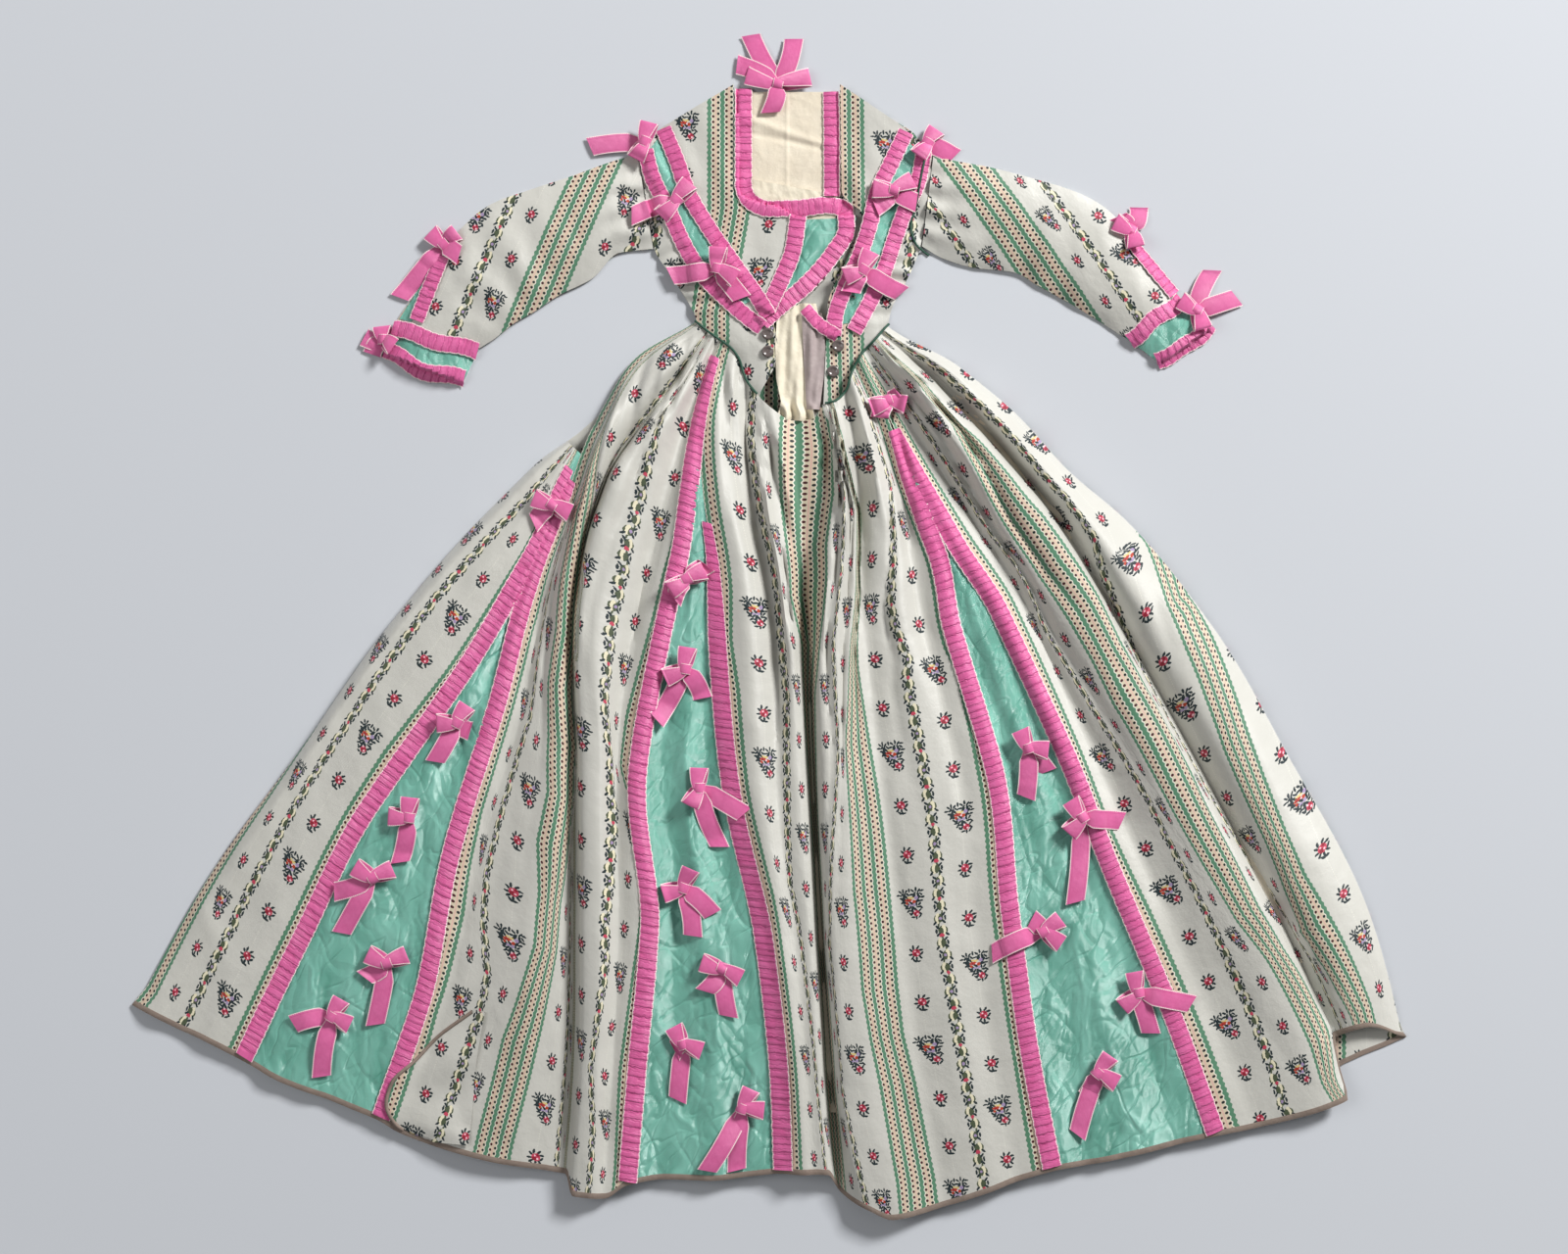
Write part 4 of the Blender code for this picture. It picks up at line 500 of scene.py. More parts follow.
def crease_relief(x, y):
    """Depth of all soft creases at each place of the plan."""
    relief = np.zeros_like(x)
    for crease in CREASES:
        path = np.array([px_to_plan(*point) for point in crease.path])
        total = len(path) - 1
        low, high = path.min(axis=0) - 3 * crease.width, path.max(axis=0) + 3 * crease.width
        near = (x > low[0]) & (x < high[0]) & (y > low[1]) & (y < high[1])
        if not near.any():
            continue
        nearest = np.full(near.sum(), 1e9)
        along = np.zeros(near.sum())
        points = np.stack((x[near], y[near]), axis=1)
        for k in range(total):
            step = path[k + 1] - path[k]
            share = np.clip(((points - path[k]) @ step) / (step @ step), 0.0, 1.0)
            distance = np.linalg.norm(points - path[k] - share[:, None] * step, axis=1)
            closer = distance < nearest
            nearest[closer] = distance[closer]
            along[closer] = (k + share[closer]) / total
        fade = np.sin(np.pi * np.clip(along * 0.9 + 0.05, 0.0, 1.0)) ** 0.7
        relief[near] += crease.depth * fade * np.exp(-(nearest / crease.width) ** 2)
    return relief


def skirt_height(angle, radius):
    """Height of the outer face of the skirt front, with its creases."""
    angles = fold_angles(radius)
    folds = smooth_curve(angles, read_rows(HEIGHT_TABLE, radius), angle)
    x, y = fan_to_plan(angle, radius)
    edge = np.minimum(angle - angles[:, 0], angles[:, -1] - angle)
    inside = np.clip(np.radians(edge) * radius / 20.0, 0.0, 1.0)
    relief = crease_relief(x, y)
    for trough in TROUGHS:
        distance = np.radians(angle - angles[:, FOLD_NAMES.index(trough.fold)]) * radius
        fade = np.clip((radius - trough.start) / 90.0, 0.0, 1.0)
        fade = fade * np.clip((trough.end - radius) / 60.0, 0.25, 1.0)
        relief = relief + trough.depth * fade * np.exp(-(distance / trough.width) ** 2)
    top = EDGE_TOP + hidden_rise(angle, radius, angles) + folds + relief * inside
    return np.maximum(top, EDGE_TOP)


def height_at(x, y):
    return skirt_height(*plan_to_fan(x, y))


def hem_radius(angle):
    far = np.full(len(angle), float(ANGLE_STATIONS[-1]))
    hems = np.tile([float(fold.hem) for fold in FOLDS], (len(angle), 1))
    return smooth_curve(fold_angles(far), hems, angle)


def gather_height(across, below, seed):
    """Pleats drawn up at the waist: round tops with sharp valleys, fading down the skirt."""
    drift = 0.35 * np.sin(across / 31.0 + seed) + 0.12 * np.sin(below / 37.0 + across / 19.0)
    part = (across / GATHER_PITCH + drift) % 1.0
    tall = 0.7 + 0.3 * np.sin(across / 43.0 + 2.0 * seed)
    fade = np.exp(-(below / GATHER_LENGTH) ** 1.4) * (0.45 + 0.55 * np.clip(below / 35.0, 0.0, 1.0))
    pleats = GATHER_HEIGHT * tall * fade * (np.sin(np.pi * part) ** 0.55 - 0.55)
    bend = 1.6 * np.sin(across / 83.0 + seed) + 0.6 * np.sin(below / 70.0 + across / 50.0)
    long_fade = np.exp(-(below / LONG_FOLD_LENGTH) ** 1.6) * np.clip(below / 70.0, 0.0, 1.0)
    wave = np.abs(np.sin(np.pi * across / LONG_FOLD_PITCH + 0.5 * bend)) ** 0.7
    return pleats + LONG_FOLD_HEIGHT * long_fade * (2.0 * wave - 1.1)


# Sharp creases of each cloth: scale, height and seed
CRUMPLES = {
    "skirt": (75.0, 1.5, 40.0), "gore": (48.0, 2.6, 0.0), "gore_fine": (44.0, 0.8, 3.0),
    "bodice": (42.0, 1.5, 27.0), "stomacher": (22.0, 0.5, 3.0), "linen": (40.0, 0.9, 5.0),
    "gauze": (16.0, 0.8, 17.0), "neck": (14.0, 1.3, 21.0), "sleeve": (48.0, 1.7, 13.0),
    "cuff": (20.0, 0.5, 9.0),
}


def crumple(x, y, cloth, shift=0.0):
    """Sharp irregular creases of crisp cloth; shift gives another draw of them."""
    scale, amount, seed = CRUMPLES[cloth]
    flat_x, flat_y = x.ravel(), y.ravel()
    out = np.zeros(len(flat_x))
    for k in range(len(out)):
        place = Vector((flat_x[k] / scale, flat_y[k] / (scale * 1.7), seed + shift))
        out[k] = noise.ridged_multi_fractal(place, 0.9, 2.1, 3, 1.0, 2.0)
    return amount * (out - out.mean()).reshape(x.shape)


def flat_coordinate(points):
    """Cloth coordinate of a piece whose grain runs down the plan."""
    return np.stack((points[..., 0], -points[..., 1]), axis=-1)


def grid_normals(points):
    across = np.gradient(points, axis=0)
    along = np.gradient(points, axis=1)
    normal = np.cross(along, across)
    length = np.linalg.norm(normal, axis=2)[..., None]
    return normal / np.maximum(length, 1e-9)


def face_up(points):
    """The same grid with its normals upward."""
    middle = tuple(size // 2 for size in points.shape[:2])
    return points if grid_normals(points)[middle][2] > 0 else points[::-1]


def grid_index(points):
    columns, rows = points.shape[:2]
    return np.arange(columns * rows).reshape(columns, rows)


def grid_quads(index):
    quads = np.stack((index[:-1, :-1], index[:-1, 1:], index[1:, 1:], index[1:, :-1]), axis=-1)
    return quads.reshape(-1, 4)


def shell(points, uv, thickness):
    """Vertices, faces and cloth coordinates of one grid, with a second face and a rim if it has thickness."""
    index = grid_index(points)
    vertices, faces, coordinates = points.reshape(-1, 3), grid_quads(index), uv.reshape(-1, 2)
    if thickness <= 0.0:
        return vertices, faces, coordinates
    inner = (points - thickness * grid_normals(points)).reshape(-1, 3)
    rim = np.concatenate((index[:, 0], index[-1, 1:], index[-2::-1, -1], index[0, -2:0:-1]))
    after = np.roll(rim, -1)
    walls = np.stack((rim, after, after + index.size, rim + index.size), axis=-1)
    faces = np.concatenate((faces, faces[:, ::-1] + index.size, walls))
    return np.concatenate((vertices, inner)), faces, np.concatenate((coordinates, coordinates))


def link_object(name, mesh):
    obj = bpy.data.objects.new(name, mesh)
    bpy.context.scene.collection.objects.link(obj)
    return obj


def grids_object(name, grids, material, thickness):
    """One object from grids, each given with its cloth coordinate."""
    vertices, faces, coordinates, base = [], [], [], 0
    for points, uv in grids:
        part = shell(points, uv, thickness)
        vertices.append(part[0])
        faces.append(part[1] + base)
        coordinates.append(part[2])
        base += len(part[0])
    mesh = bpy.data.meshes.new(name)
    mesh.from_pydata((np.concatenate(vertices) * MM).tolist(), [], np.concatenate(faces).tolist())
    layer = mesh.uv_layers.new(name="cloth")
    corner = np.zeros(len(mesh.loops), dtype=np.int32)
    mesh.loops.foreach_get("vertex_index", corner)
    layer.data.foreach_set("uv", (np.concatenate(coordinates)[corner] * MM).ravel())
    mesh.materials.append(material)
    mesh.shade_smooth()
    mesh.set_sharp_from_angle(angle=math.radians(SHARP_EDGE))
    return link_object(name, mesh)


# Grids that later pieces can lie on
solid_ground = []


def cloth_object(name, points, uv, material, thickness=0.0, ground=True):
    """A sheet from a grid of columns by rows; with ground, later pieces can lie on it."""
    if ground:
        solid_ground.append(points)
    return grids_object(name, [(points, uv)], material, thickness)


# Cut of each cloth that shows: width, length and area in metres, how it is held and what it lies on
Cut = namedtuple("Cut", "width length area held rests_on")


def place_piece(obj, node=None):
    """Puts a piece on the body and hides the imported part that it stands for, if a node is given."""
    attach(obj, "root")
    if node:
        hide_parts(node)


# Blobs of the woven motifs: directions and length to width of the long ones, and the common reach
LEAF_TURNS = (0.0, 45.0, 90.0, -45.0)
LEAF_ASPECT = 2.3
ROUND_BELOW = 1.4
BLOB_REACH = 9.0
# Ruched ribbon: distance between pleats, the cloth coordinate at its edge, and its grid across
RUCHE_PITCH = 9.5
RIBBON_EDGE = 12.0
RUCHE_COLUMNS = 9
RUCHE_WALL = 0.5
SKIRT_CLEARANCE = 0.7
BODICE_CLEARANCE = 0.4
# First seed of the pleats of each group of ribbons, and of the bows
SEEDS = {"skirt": 11, "bodice": 31, "cuff": 51, "bow": 71}


class Net:
    """Shorthand for the nodes of one tree."""

    def __init__(self, tree):
        self.tree = tree

    def node(self, kind, **settings):
        node = self.tree.nodes.new(kind)
        for key, value in settings.items():
            setattr(node, key, value)
        return node

    def feed(self, socket, value):
        if isinstance(value, bpy.types.NodeSocket):
            self.tree.links.new(value, socket)
        else:
            socket.default_value = value

    def maths(self, operation, *values, clamp=False):
        node = self.node("ShaderNodeMath", operation=operation, use_clamp=clamp)
        for socket, value in zip(node.inputs, values):
            self.feed(socket, value)
        return node.outputs[0]

    times = partialmethod(maths, "MULTIPLY")
    scaled = partialmethod(maths, "MULTIPLY_ADD")
    minus = partialmethod(maths, "SUBTRACT")
    below = partialmethod(maths, "LESS_THAN")
    above = partialmethod(maths, "GREATER_THAN")
    size = partialmethod(maths, "ABSOLUTE")
    sign = partialmethod(maths, "SIGN")

    def wave(self, value, pitch):
        """A sine wave along a value."""
        return self.maths("SINE", self.times(value, 2 * math.pi / pitch))

    def mix(self, factor, first, second):
        node = self.node("ShaderNodeMix", data_type="RGBA")
        self.feed(node.inputs["Factor"], factor)
        self.feed(node.inputs[6], first)
        self.feed(node.inputs[7], second)
        return node.outputs[2]

    def vector(self, x, y, z=0.0):
        node = self.node("ShaderNodeCombineXYZ")
        for socket, value in zip(node.inputs, (x, y, z)):
            self.feed(socket, value)
        return node.outputs[0]

    def split(self, vector):
        node = self.node("ShaderNodeSeparateXYZ")
        self.feed(node.inputs[0], vector)
        return node.outputs[0], node.outputs[1]

    def wrap(self, value, half):
        return self.maths("WRAP", value, half, -half)

    def noise(self, vector, scale, detail=2.0, roughness=0.5):
        node = self.node("ShaderNodeTexNoise")
        self.feed(node.inputs["Vector"], vector)
        set_values(node, {"Scale": scale, "Detail": detail, "Roughness": roughness})
        return node.outputs[0]

    def spaces(self, vector):
        """The vector itself, and squeezed across each of the leaf directions."""
        result = {None: vector}
        for turn in LEAF_TURNS:
            node = self.node("ShaderNodeMapping", vector_type="TEXTURE")
            self.feed(node.inputs["Vector"], vector)
            node.inputs["Rotation"].default_value = (0.0, 0.0, math.radians(turn))
            node.inputs["Scale"].default_value = (1.0, 1.0 / LEAF_ASPECT, 1.0)
            result[turn] = node.outputs[0]
        return result

    def blobs(self, spaces, shapes):
        """One where the place is inside any of the ellipses: x, y, half sizes and turn in degrees."""
        nearest = None
        for x, y, half_x, half_y, turn in shapes:
            if half_y > half_x:
                half_x, half_y, turn = half_y, half_x, turn + 90.0
            if half_x < ROUND_BELOW * half_y or len(spaces) == 1:
                key, centre, radius = None, (x, y), math.sqrt(half_x * half_y)
            else:
                key = min(LEAF_TURNS, key=lambda known: abs((turn - known + 90.0) % 180.0 - 90.0))
                c, s = math.cos(math.radians(key)), math.sin(math.radians(key))
                centre = (x * c + y * s, (y * c - x * s) * LEAF_ASPECT)
                radius = math.sqrt(half_x * half_y * LEAF_ASPECT)
            node = self.node("ShaderNodeVectorMath", operation="DISTANCE")
            self.feed(node.inputs[0], spaces[key])
            node.inputs[1].default_value = (*centre, math.sqrt(BLOB_REACH ** 2 - radius ** 2))
            nearest = node.outputs[1] if nearest is None else self.maths(
                "MINIMUM", nearest, node.outputs[1])
        return self.below(nearest, BLOB_REACH)


def colour(red, green, blue):
    """A colour from its values on a screen from 0 to 255."""
    return tuple(((c / 255.0 + 0.055) / 1.055) ** 2.4 for c in (red, green, blue)) + (1.0,)


GROUND_SILK = colour(205, 203, 195)
GROUND_SHADE = colour(188, 187, 178)
STRIPE_GREEN = colour(84, 130, 102)
STRIPE_CREAM = colour(206, 193, 168)
STRIPE_EDGE = colour(222, 220, 208)
STRIPE_PINK = colour(216, 168, 158)
DOT_DARK = colour(18, 26, 30)
DOT_RED = colour(66, 14, 24)
LEAF_DARK = colour(24, 40, 44)
LEAF_OLIVE = colour(74, 84, 60)
PETAL_ROSE = colour(190, 62, 86)
PETAL_DEEP = colour(140, 24, 44)
PETAL_PALE = colour(240, 196, 204)
PETAL_RED = colour(176, 58, 34)
PETAL_YELLOW = colour(214, 190, 120)
PETAL_LILAC = colour(160, 140, 176)
VINE_CREAM = colour(226, 218, 188)

STRIPE_REPEAT = 170.0
MOTIF_REPEAT = 180.0
COLUMN_PLACE = 52.0
STRIPE_HALF = 26.5
BAND_PITCH = 16.2
BAND_HALF = 5.5
DOT_PLACE = 3.1
DOT_PITCH = 6.8
SPRIG_PLACE = 60.0
GARLAND_REPEAT = 90.0


def leaves(half_long, half_short, places):
    """Leaves of one size at places given as x, y and turn."""
    return tuple((x, y, half_long, half_short, turn) for x, y, turn in places)


BOUQUET_LEAVES = leaves(2.9, 1.12, (
    (-13, -16, 45), (-9.5, -17, 90), (-6, -15.6, -45), (-2, -17, 90), (2, -16, 45), (6, -17.4, 90),
    (9.5, -15.5, -45), (13, -15, 0), (-15.5, -12, 0), (-11, -12.4, -45), (-7.5, -11.4, 90), (-4, -12, 45),
    (0, -11.6, 0), (4, -12.2, -45), (8, -11.4, 90), (12, -11, 45), (-12, -8, 0), (-8.5, -7, 45),
    (9.5, -7.4, -45), (13.5, -7, 0), (-11, -3.6, -45), (-8, -2.4, 0), (8, -3.4, 45), (11.5, -3, 0),
    (-8, 1, 45), (-4.5, 0, 90), (6, 0.6, 90), (9.5, 0.8, -45), (-6, 4.6, 0), (-2.2, 4.2, -45),
    (2, 4.6, 45), (8, 4.4, 0), (11.4, 5, 45), (-4.5, 8, -45), (-1, 8, 0), (9.8, 8.2, -45), (-2, 12, 45),
    (10, 12.4, 45), (1, 16, 0), (5, 16.6, 90), (9, 16, -45),
)) + leaves(3.2, 1.5, (
    (-6, -9, 45), (3.4, -9.4, -45), (-0.4, -1.4, 45), (5.4, -2.6, 0), (-5, 2, -45), (0.6, 6.6, 90),
    (4, 6.4, 45), (0.4, 11, -45), (-9, -9.6, 90), (8.6, -9.8, 90), (-9.8, -5.4, 45), (7.6, -5.2, 90),
))
BOUQUET_RED = ((-3.4, -5, 3.5, 2.3, 0), (3, -2.8, 2.2, 2, 0), (-5.6, -1.6, 1.8, 1.4, 0))
BOUQUET_YELLOW = ((0.4, -7.4, 2.2, 1.4, 0), (-3, -8.4, 1.4, 1, 0))
BOUQUET_LILAC = ((6, -7, 2.5, 2, 0), (3, 1.2, 2.2, 1.6, 0), (-1.8, 1.4, 2, 1.4, 0))
BOUQUET_ROSE = ((5, 11.5, 3.8, 3.5, 0),)
BOUQUET_DEEP = ((4, 12.5, 2, 1.6, 0), (6.8, 9.6, 1.4, 1.2, 0), (-4, -4.4, 1.4, 1.1, 0))
BOUQUET_PALE = ((6.4, 12.8, 1.3, 1, 0), (3.2, 9, 1.2, 0.9, 0), (0.5, -3.5, 1.2, 0.9, 0))
SPRIG_LEAVES = leaves(3.0, 1.35, (
    (-5.5, -4, 45), (-3, -7.2, 90), (2.5, -6.8, -45), (6, -3.6, 0), (6.2, 1, -45), (-6.2, 1, 0),
    (-4.5, 4.8, -45), (0, 6.6, 90), (4.5, 5, 45), (1.8, 9.8, 0), (-2.6, 8.8, 45),
))
SPRIG_ROSE = ((0, -0.5, 4.5, 4.9, 0),)
SPRIG_DEEP = ((-1.4, 1.4, 2.6, 2.1, 0), (1.8, -3.0, 1.8, 1.4, 0))
SPRIG_PALE = ((1.7, 1.3, 1.3, 1.0, 0), (-1.4, -2.4, 1.1, 0.9, 0))
# Crescents of the garland: where each sits along it and to which side it bends
CRESCENTS = ((-37.5, -1), (-22.5, 1), (-7.5, -1), (7.5, 1), (22.5, -1), (37.5, 1))
GARLAND_GREEN = tuple((2.1 * side, y, 4.8, 6.7, 0) for y, side in CRESCENTS)
GARLAND_CREAM = tuple((3.0 * side, y - 0.4, 3.4, 5.2, 0) for y, side in CRESCENTS)
GARLAND_CUT = tuple((0.7 * side, y + 0.6, 2.5, 3.6, 0) for y, side in CRESCENTS)
GARLAND_DARK = sum((leaves(3.0, 1.4, (
    (-4.0 * side, y - 4.5, 45 * side), (-5.8 * side, y, 90), (-3.8 * side, y + 4.2, -45 * side),
    (6.6 * side, y + 5.0, 45 * side))) for y, side in CRESCENTS), ())
GARLAND_ROSE = ((0, 43.5, 3.0, 2.8, 0), (0.5, -1, 2.2, 2.0, 0))
GARLAND_LILAC = ((0.2, 22.5, 2.0, 1.8, 0), (0, -22.5, 1.8, 1.5, 0))


def brocade_group():
    """The woven pattern by the cloth's own distances in millimetres."""
    tree = bpy.data.node_groups.new("brocade_pattern", "ShaderNodeTree")
    tree.interface.new_socket(name="Vector", in_out="INPUT", socket_type="NodeSocketVector")
    tree.interface.new_socket(name="Color", in_out="OUTPUT", socket_type="NodeSocketColor")
    tree.interface.new_socket(name="Raised", in_out="OUTPUT", socket_type="NodeSocketFloat")
    net = Net(tree)
    start = net.node("NodeGroupInput").outputs[0]
    end = net.node("NodeGroupOutput")
    wobble = net.node("ShaderNodeTexNoise")
    set_values(wobble, {"Scale": 0.55, "Detail": 1.0})
    net.feed(wobble.inputs["Vector"], start)
    centred = net.node("ShaderNodeVectorMath", operation="MULTIPLY_ADD")
    net.feed(centred.inputs[0], wobble.outputs[1])
    centred.inputs[1].default_value = (1.8, 1.8, 0.0)
    centred.inputs[2].default_value = (-0.9, -0.9, 0.0)
    moved = net.node("ShaderNodeVectorMath", operation="ADD")
    net.feed(moved.inputs[0], start)
    net.feed(moved.inputs[1], centred.outputs[0])
    s, t = net.split(moved.outputs[0])
    s_plain, t_plain = net.split(start)

    inside = net.wrap(s, STRIPE_REPEAT / 2)
    side = net.sign(inside)
    number = net.maths("ROUND", net.maths("DIVIDE", s, STRIPE_REPEAT))
    odd = net.size(net.maths("MODULO", number, 2.0))
    column = net.minus(inside, net.times(side, COLUMN_PLACE))
    along = net.wrap(net.scaled(odd, MOTIF_REPEAT / 2, t), MOTIF_REPEAT / 2)
    bouquet = net.vector(column, along)
    sprig_side = net.sign(along)
    sprig = net.vector(column, net.minus(along, net.times(sprig_side, SPRIG_PLACE)))
    garland_across = net.minus(inside, net.times(side, STRIPE_REPEAT / 2))
    garland_along = net.wrap(t, GARLAND_REPEAT / 2)
    garland = net.vector(garland_across, garland_along)

    mottle = net.noise(start, 0.012, 2.0)
    result = net.mix(net.times(mottle, 0.55), GROUND_SILK, GROUND_SHADE)
    line = net.below(net.size(column), 0.45)
    dash = net.above(net.maths("SINE", net.times(t, 2.1)), 0.0)
    result = net.mix(net.times(line, net.times(dash, 0.6)), result, STRIPE_EDGE)

    inside_plain = net.wrap(s_plain, STRIPE_REPEAT / 2)
    distance = net.size(inside_plain)
    wave = net.wave(t_plain, DOT_PITCH)
    edge = net.scaled(wave, 0.7, STRIPE_HALF)
    stripe = net.below(distance, edge)
    result = net.mix(stripe, result, STRIPE_GREEN)
    band = net.wrap(inside_plain, BAND_PITCH / 2)
    in_bands = net.below(distance, 1.5 * BAND_PITCH)
    band_side = net.sign(band)
    band_wave = net.times(wave, band_side)
    band_distance = net.size(band)
    white = net.below(band_distance, net.scaled(band_wave, 0.6, BAND_HALF))
    cream = net.below(band_distance, net.scaled(band_wave, 0.5, BAND_HALF - 0.9))
    result = net.mix(net.times(white, in_bands), result, STRIPE_EDGE)
    result = net.mix(net.times(cream, in_bands), result, STRIPE_CREAM)
    pink = net.below(band_distance, 0.7)
    result = net.mix(net.times(net.times(pink, in_bands), 0.7), result, STRIPE_PINK)
    dot_along = net.wrap(net.scaled(band_side, -DOT_PITCH / 4, t_plain), DOT_PITCH / 2)
    dot = net.blobs({None: net.vector(net.minus(band_distance, DOT_PLACE), dot_along)},
                    ((0, 0, 1.6, 1.75, 0),))
    dot = net.times(dot, in_bands)
    dark = net.above(band, 0.0)
    result = net.mix(dot, result, net.mix(dark, DOT_RED, DOT_DARK))

    vine_place = net.times(net.maths(
        "SINE", net.times(t, 4 * math.pi / GARLAND_REPEAT)), 3.0)
    vine = net.below(net.size(net.minus(garland_across, vine_place)), 1.1)
    floats = vine
    result = net.mix(vine, result, LEAF_OLIVE)
    garland, bouquet, sprig = net.spaces(garland), net.spaces(bouquet), net.spaces(sprig)
    layers = (
        (garland, GARLAND_GREEN, LEAF_OLIVE), (garland, GARLAND_CREAM, VINE_CREAM),
        (garland, GARLAND_CUT, LEAF_OLIVE),
        (garland, GARLAND_DARK, LEAF_DARK), (garland, GARLAND_ROSE, PETAL_ROSE),
        (garland, GARLAND_LILAC, PETAL_LILAC),
        (bouquet, BOUQUET_LEAVES, LEAF_DARK), (bouquet, BOUQUET_YELLOW, PETAL_YELLOW),
        (bouquet, BOUQUET_LILAC, PETAL_LILAC), (bouquet, BOUQUET_RED, PETAL_RED),
        (bouquet, BOUQUET_ROSE, PETAL_ROSE), (bouquet, BOUQUET_DEEP, PETAL_DEEP),
        (bouquet, BOUQUET_PALE, PETAL_PALE),
        (sprig, SPRIG_LEAVES, LEAF_DARK), (sprig, SPRIG_ROSE, PETAL_ROSE), (sprig, SPRIG_DEEP, PETAL_DEEP),
        (sprig, SPRIG_PALE, PETAL_PALE),
    )
    for spaces, shapes, shade in layers:
        mask = net.blobs(spaces, shapes)
        floats = net.maths("MAXIMUM", floats, mask)
        result = net.mix(mask, result, shade)
    net.feed(end.inputs[0], result)
    net.feed(end.inputs[1], net.maths("MAXIMUM", floats, stripe))
    return tree


def cloth_vector(net):
    """The cloth coordinate in millimetres."""
    uv = net.node("ShaderNodeUVMap", uv_map="cloth")
    scale = net.node("ShaderNodeVectorMath", operation="SCALE")
    net.feed(scale.inputs[0], uv.outputs[0])
    scale.inputs["Scale"].default_value = 1.0 / MM
    return scale.outputs[0]


# Ribs of each cloth, and a ribbon's stitching and looped edge, in millimetres
BROCADE_RIB = 0.9
TAFFETA_RIB = 0.7
RIBBON_RIB = 1.1
STITCH_PLACE = 8.6
LOOP_PLACE = 10.9
LOOP_PITCH = 2.4
# Slanting creases of the taffeta: slope and scale
TAFFETA_CREASES = ((0.25, 0.022), (-0.7, 0.016), (0.9, 0.03))


def set_values(node, values):
    for name, value in values.items():
        node.inputs[name].default_value = value


def new_material(name):
    material = bpy.data.materials.new(name)
    material.use_nodes = True
    net = Net(material.node_tree)
    return material, net, material.node_tree.nodes["Principled BSDF"]


def add_bump(net, shader, height, strength, distance):
    bump = net.node("ShaderNodeBump")
    set_values(bump, {"Strength": strength, "Distance": distance})
    net.feed(bump.inputs["Height"], height)
    net.feed(shader.inputs["Normal"], bump.outputs[0])


def brocade_material(group):
    material, net, shader = new_material("silk_brocade")
    vector = cloth_vector(net)
    pattern = net.node("ShaderNodeGroup")
    pattern.node_tree = group
    net.feed(pattern.inputs[0], vector)
    net.feed(shader.inputs["Base Color"], pattern.outputs[0])
    ribs = net.wave(net.split(vector)[1], BROCADE_RIB)
    wrinkle = net.noise(vector, 0.05, 3.0, 0.6)
    height = net.scaled(wrinkle, 5.0, net.times(ribs, 0.25))
    add_bump(net, shader, height, 0.5, 0.0004)
    net.feed(shader.inputs["Roughness"], net.scaled(pattern.outputs[1], 0.16, 0.4))
    set_values(shader, {"Specular IOR Level": 0.4, "Sheen Weight": 0.15, "Sheen Roughness": 0.4})
    return material


def taffeta_material():
    material, net, shader = new_material("green_taffeta")
    vector = cloth_vector(net)
    s, t = net.split(vector)
    large = net.noise(vector, 0.014, 2.0, 0.5)
    bent = net.vector(net.scaled(large, 70.0, s), net.times(t, 0.3))
    drape = net.noise(bent, 0.034, 2.0, 0.5)
    # Painted light: the drape noise that the bump raises also sets the colour, lighter on the crests as
    # painted highlight and darker in the hollows as painted shade.
    tone = net.scaled(drape, 1.5, -0.25, clamp=True)
    net.feed(shader.inputs["Base Color"], net.mix(tone, colour(80, 152, 132), colour(146, 212, 194)))
    ribs = net.wave(t, TAFFETA_RIB)
    height = net.scaled(ribs, 0.08, net.times(drape, 7.0))
    for slope, scale in TAFFETA_CREASES:
        slant = net.vector(net.scaled(t, slope, s), net.times(net.scaled(s, -slope, t), 0.4))
        place = net.size(net.minus(net.noise(slant, scale, 1.5, 0.5), 0.5))
        height = net.scaled(net.maths("MINIMUM", place, 0.05), 15.0, height)
    add_bump(net, shader, height, 1.0, 0.001)
    set_values(shader, {"Roughness": 0.27, "Specular IOR Level": 0.75,
                        "Sheen Weight": 0.25, "Sheen Roughness": 0.3})
    return material


